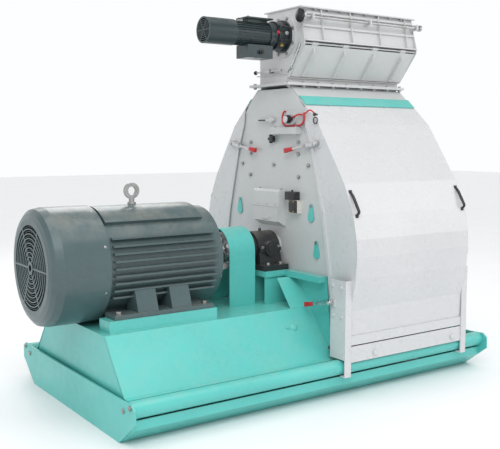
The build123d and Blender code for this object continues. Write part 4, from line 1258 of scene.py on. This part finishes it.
@dataclass
class Feeder(Assembly):
    """Roll feeder with its magnet door, gate and flap lever.

    Attributes:
        latch_path: (y, z) corners of the magnet door's latch rod.
        lever_end: (y, z) of the flap lever's ball.
        ball_r: Radius of that ball.
        gate: (y, z) of the gate shaft.
        roll: (y, z) of the feed roll.
    """

    latch_path: tuple[Pair, ...] = ((-0.284, 2.098), (-0.262, 2.060), (-0.196, 1.962), (-0.168, 1.940))
    lever_end: Pair = (0.146, 1.945)
    ball_r: float = 0.0136
    gate: Pair = (-0.322, 2.255)
    roll: Pair = (-0.110, 2.150)

    def build(self) -> None:
        """Add the latch rod, the lever's ball, the wheel's hub and the bolts."""
        rod = Bench("magnet_latch_rod")
        rod.sweep([(0.091, y, z) for y, z in self.latch_path], 0.0065)
        for y, z in (self.latch_path[1], self.latch_path[2]):
            rod.bolt((0.100, y, z), Axis.BACK_X, 0.022, 0.010)
        self.fit(rod, Finish.ZINC, "frame", "bolt_steel")
        ball = Bench("lever_ball")
        profile = [polar(self.ball_r, degrees, 0.0, 0.0) for degrees in range(-80, 81, 16)]
        profile = [(0.0, -self.ball_r), *profile, (0.0, self.ball_r)]
        ball.lathe(profile, (0.067, *self.lever_end), Axis.X, 28)
        self.fit(ball, Finish.BLACK_PLASTIC, "damper", "black_plastic")
        hub = Bench("gate_wheel_hub")
        hub.lathe([(0.0, 0.0), (0.038, 0.0), (0.040, 0.003), (0.030, 0.008), (0.016, 0.012), (0.012, 0.014),
                   (0.0, 0.0145)], (0.058, *self.gate), Axis.BACK_X, 32)
        self.fit(hub, Finish.BLACK_PLASTIC, "gate", "black_plastic")
        self.flange()

    def flange(self) -> None:
        """Bolt the gearmotor's flange, the far bearing and the rim of the inlet."""
        bolts = Bench("feeder_bolts")
        bolts.bolt_circle((0.090, *self.roll), (8, 0.114, 22.5), Axis.BACK_X, 0.018, 0.008)
        bolts.bolt_circle((1.084, *self.roll), (6, 0.036, 0.0), Axis.X, 0.012, 0.005)
        for i in range(1, 9):
            for y in (-0.275, 0.075):
                bolts.bolt((0.105 + i * 0.1056, y, 2.312), Axis.DOWN, 0.018, 0.008)
        self.fit(bolts, Finish.BOLT, "frame", "bolt_steel")

    def dress(self) -> None:
        """Paint the feeder."""
        self.paint.dress(("feeder_casing", "magnet_door"), Finish.FEED_GREY)
        self.paint.dress(("gate_shaft", "neck_flap", "feed_roll"), Finish.TURNED)


@dataclass
class Gearmotor(Assembly):
    """Small gearmotor that turns the feed roll.

    Attributes:
        shaft: (y, z) of its shaft.
        plug_r: Radius at which the red, silver and brass plugs sit.
        plug_x: Stations of the three plugs.
    """

    shaft: Pair = (-0.110, 2.150)
    plug_r: Point = (0.077, 0.087, 0.087)
    plug_x: Point = (0.002, 0.058, 0.036)

    def build(self) -> None:
        """Add the oil plugs, flange bolts and cable gland."""
        for index, (finish, angle) in enumerate(((Finish.SAFETY_RED, 170.0), (Finish.ZINC, 172.0),
                                                 (Finish.BRASS, 222.0))):
            y, z = polar(self.plug_r[index], angle, *self.shaft)
            out = Vector((0.0, y - self.shaft[0], z - self.shaft[1])).normalized()
            plug = Bench(f"oil_plug_{index + 1}")
            plug.bolt((0.0, 0.0, 0.0), Axis.Z, 0.018, 0.010)
            plug.mesh.transform(facing((self.plug_x[index], y, z), out))
            self.fit(plug, finish, "frame", "bolt_steel")
        bolts = Bench("gearmotor_bolts")
        bolts.bolt_circle((-0.024, *self.shaft), (8, 0.070, 22.5), Axis.BACK_X, 0.012, 0.006)
        for x in (-0.206, -0.038):
            for y in (self.shaft[0] - 0.050, self.shaft[0] + 0.050):
                bolts.bolt((x, y, 2.2440), Axis.Z, 0.012, 0.005)
        self.fit(bolts, Finish.BOLT, "frame", "bolt_steel")
        gland = Bench("cable_gland")
        gland.lathe([(0.0, 0.0), (0.014, 0.0), (0.014, 0.012), (0.011, 0.014), (0.011, 0.024),
                     (0.008, 0.028), (0.0, 0.028)], (-0.120, self.shaft[0] - 0.062, 2.040), Axis.BACK_Y, 24)
        self.fit(gland, Finish.BLACK_PLASTIC, "frame", "black_plastic")

    def dress(self) -> None:
        """Paint the gearmotor."""
        self.paint.dress(("feeder_motor",), Finish.GEAR)
        self.paint.dress(("reducer_housing",), Finish.REDUCER)
        self.paint.dress(("feeder_fan",), Finish.BLACK_PLASTIC)


@dataclass
class Studio:
    """Floor, light and camera.

    Attributes:
        eye: Place of the camera.
        heading: Level direction in which it looks.
        tilt: Downward tilt in degrees.
        lens: Focal length in millimetres on a 36 mm frame.
        lamps: Name, place, width and power of each soft lamp.
        daylight: Strength of the broad light from above.
        softness: Width of that light in degrees.
        floor_half: Half the width of the floor.
    """

    eye: Point = (-2.9782, -4.170, 1.500)
    heading: Pair = (0.5707, 0.8211)
    tilt: float = 5.873
    lens: float = 57.74
    lamps: tuple[tuple[str, Point, float, float], ...] = field(default=(
        ("key_light", (-3.4, -4.6, 5.2), 3.4, 150.0),
        ("fill_light", (4.6, -4.2, 3.4), 3.6, 40.0),
        ("back_light", (1.2, 4.8, 4.4), 3.0, 60.0),
    ))
    daylight: float = 1.7
    softness: float = 75.0
    floor_half: float = 30.0

    def camera(self) -> None:
        """Place the camera and make it the scene's."""
        lens = bpy.data.cameras.new("camera")
        lens.lens, lens.sensor_width = self.lens, 36.0
        lens.clip_start, lens.clip_end = 0.05, 60.0
        camera = bpy.data.objects.new("camera", lens)
        camera.location = self.eye
        fall = math.radians(self.tilt)
        level = Vector((*self.heading, 0.0)) * math.cos(fall)
        ahead = level - Vector((0.0, 0.0, math.sin(fall)))
        camera.rotation_mode = "QUATERNION"
        camera.rotation_quaternion = ahead.to_track_quat("-Z", "Y")
        bpy.context.scene.collection.objects.link(camera)
        bpy.context.scene.camera = camera

    def light(self) -> None:
        """Hang soft area lights and an even pale surround."""
        for name, place, size, power in self.lamps:
            lamp = bpy.data.lights.new(name, "AREA")
            lamp.shape, lamp.size, lamp.energy = "DISK", size, power
            piece = bpy.data.objects.new(name, lamp)
            piece.location = place
            aim = Vector((0.0, 0.0, 0.9)) - Vector(place)
            piece.rotation_mode = "QUATERNION"
            piece.rotation_quaternion = aim.to_track_quat("-Z", "Y")
            bpy.context.scene.collection.objects.link(piece)
        above = bpy.data.lights.new("daylight", "SUN")
        above.energy, above.angle = self.daylight, math.radians(self.softness)
        piece = bpy.data.objects.new("daylight", above)
        piece.rotation_mode = "QUATERNION"
        piece.rotation_quaternion = Vector((0.10, 0.22, -1.0)).to_track_quat("-Z", "Y")
        bpy.context.scene.collection.objects.link(piece)
        self.surround()

    def surround(self) -> None:
        """Close the studio with walls that are white at eye level and dimmer above."""
        world = bpy.data.worlds.new("surround")
        world.use_nodes = True
        nodes, links = world.node_tree.nodes, world.node_tree.links
        sky = nodes["Background"]
        sky.inputs["Color"].default_value = (0.98, 0.99, 1.0, 1.0)
        split = nodes.new("ShaderNodeSeparateXYZ")
        links.new(nodes.new("ShaderNodeTexCoord").outputs["Generated"], split.inputs[0])
        wall = nodes.new("ShaderNodeMapRange")
        wall.inputs["From Min"].default_value = 0.20
        wall.inputs["From Max"].default_value = 0.55
        wall.inputs["To Min"].default_value = 1.0
        wall.inputs["To Max"].default_value = 0.45
        links.new(split.outputs["Z"], wall.inputs["Value"])
        links.new(wall.outputs[0], sky.inputs["Strength"])
        bpy.context.scene.world = world
        bpy.context.scene.view_settings.view_transform = "Standard"

    def floor(self) -> None:
        """Lay a plain pale floor."""
        g = Graph("studio_floor")
        pale = g.blend(g.noise(0.9, 2.0), (0.80, 0.81, 0.82), (0.84, 0.85, 0.86))
        g.join(pale, g.shader.inputs["Base Color"])
        g.shader.inputs["Roughness"].default_value = 0.6
        mesh = bmesh.new()
        reach = self.floor_half
        corners = [(-reach, -reach), (reach, -reach), (reach, reach), (-reach, reach)]
        mesh.faces.new([mesh.verts.new((x, y, 0.0)) for x, y in corners])
        data = bpy.data.meshes.new("studio_floor")
        mesh.to_mesh(data)
        mesh.free()
        data.materials.append(g.material)
        piece = bpy.data.objects.new("studio_floor", data)
        bpy.context.scene.collection.objects.link(piece)


def clamps(paint: Paintshop) -> list[ToggleClamp]:
    """Give the three toggle clamps.

    Args:
        paint: Shop that gives every finish.

    Returns:
        The clamps.
    """
    upper = {"reach": 0.296, "droop": 9.0, "x": 0.078, "hook": 0.100}
    lower = {"reach": 0.226, "droop": 12.0, "x": 0.032, "hook": 0.108}
    return [
        ToggleClamp(paint, "front_upper", pivot=(-0.452, 1.492), side=1, **upper),
        ToggleClamp(paint, "front_lower", pivot=(-0.652, 0.568), side=1, **lower),
        ToggleClamp(paint, "back_upper", pivot=(0.452, 1.492), side=-1, **upper),
    ]


def main() -> None:
    """Place the camera, build and dress the machine, then light the studio and lay its floor."""
    logging.basicConfig(level=logging.INFO, format="%(name)s: %(message)s")
    studio = Studio()
    studio.camera()
    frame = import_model()
    paint = Paintshop(frame)
    kinds = (Skid, DriveMotor, Bearings, MillHousing, Doors, Feeder, Gearmotor, LimitSwitch, DoorLatch)
    for part in (*(kind(paint) for kind in kinds), *clamps(paint)):
        part.build()
        part.dress()
        LOG.info("finished %s", type(part).__name__)
    studio.light()
    studio.floor()
    bpy.context.view_layer.update()


if __name__ == "__main__":
    main()
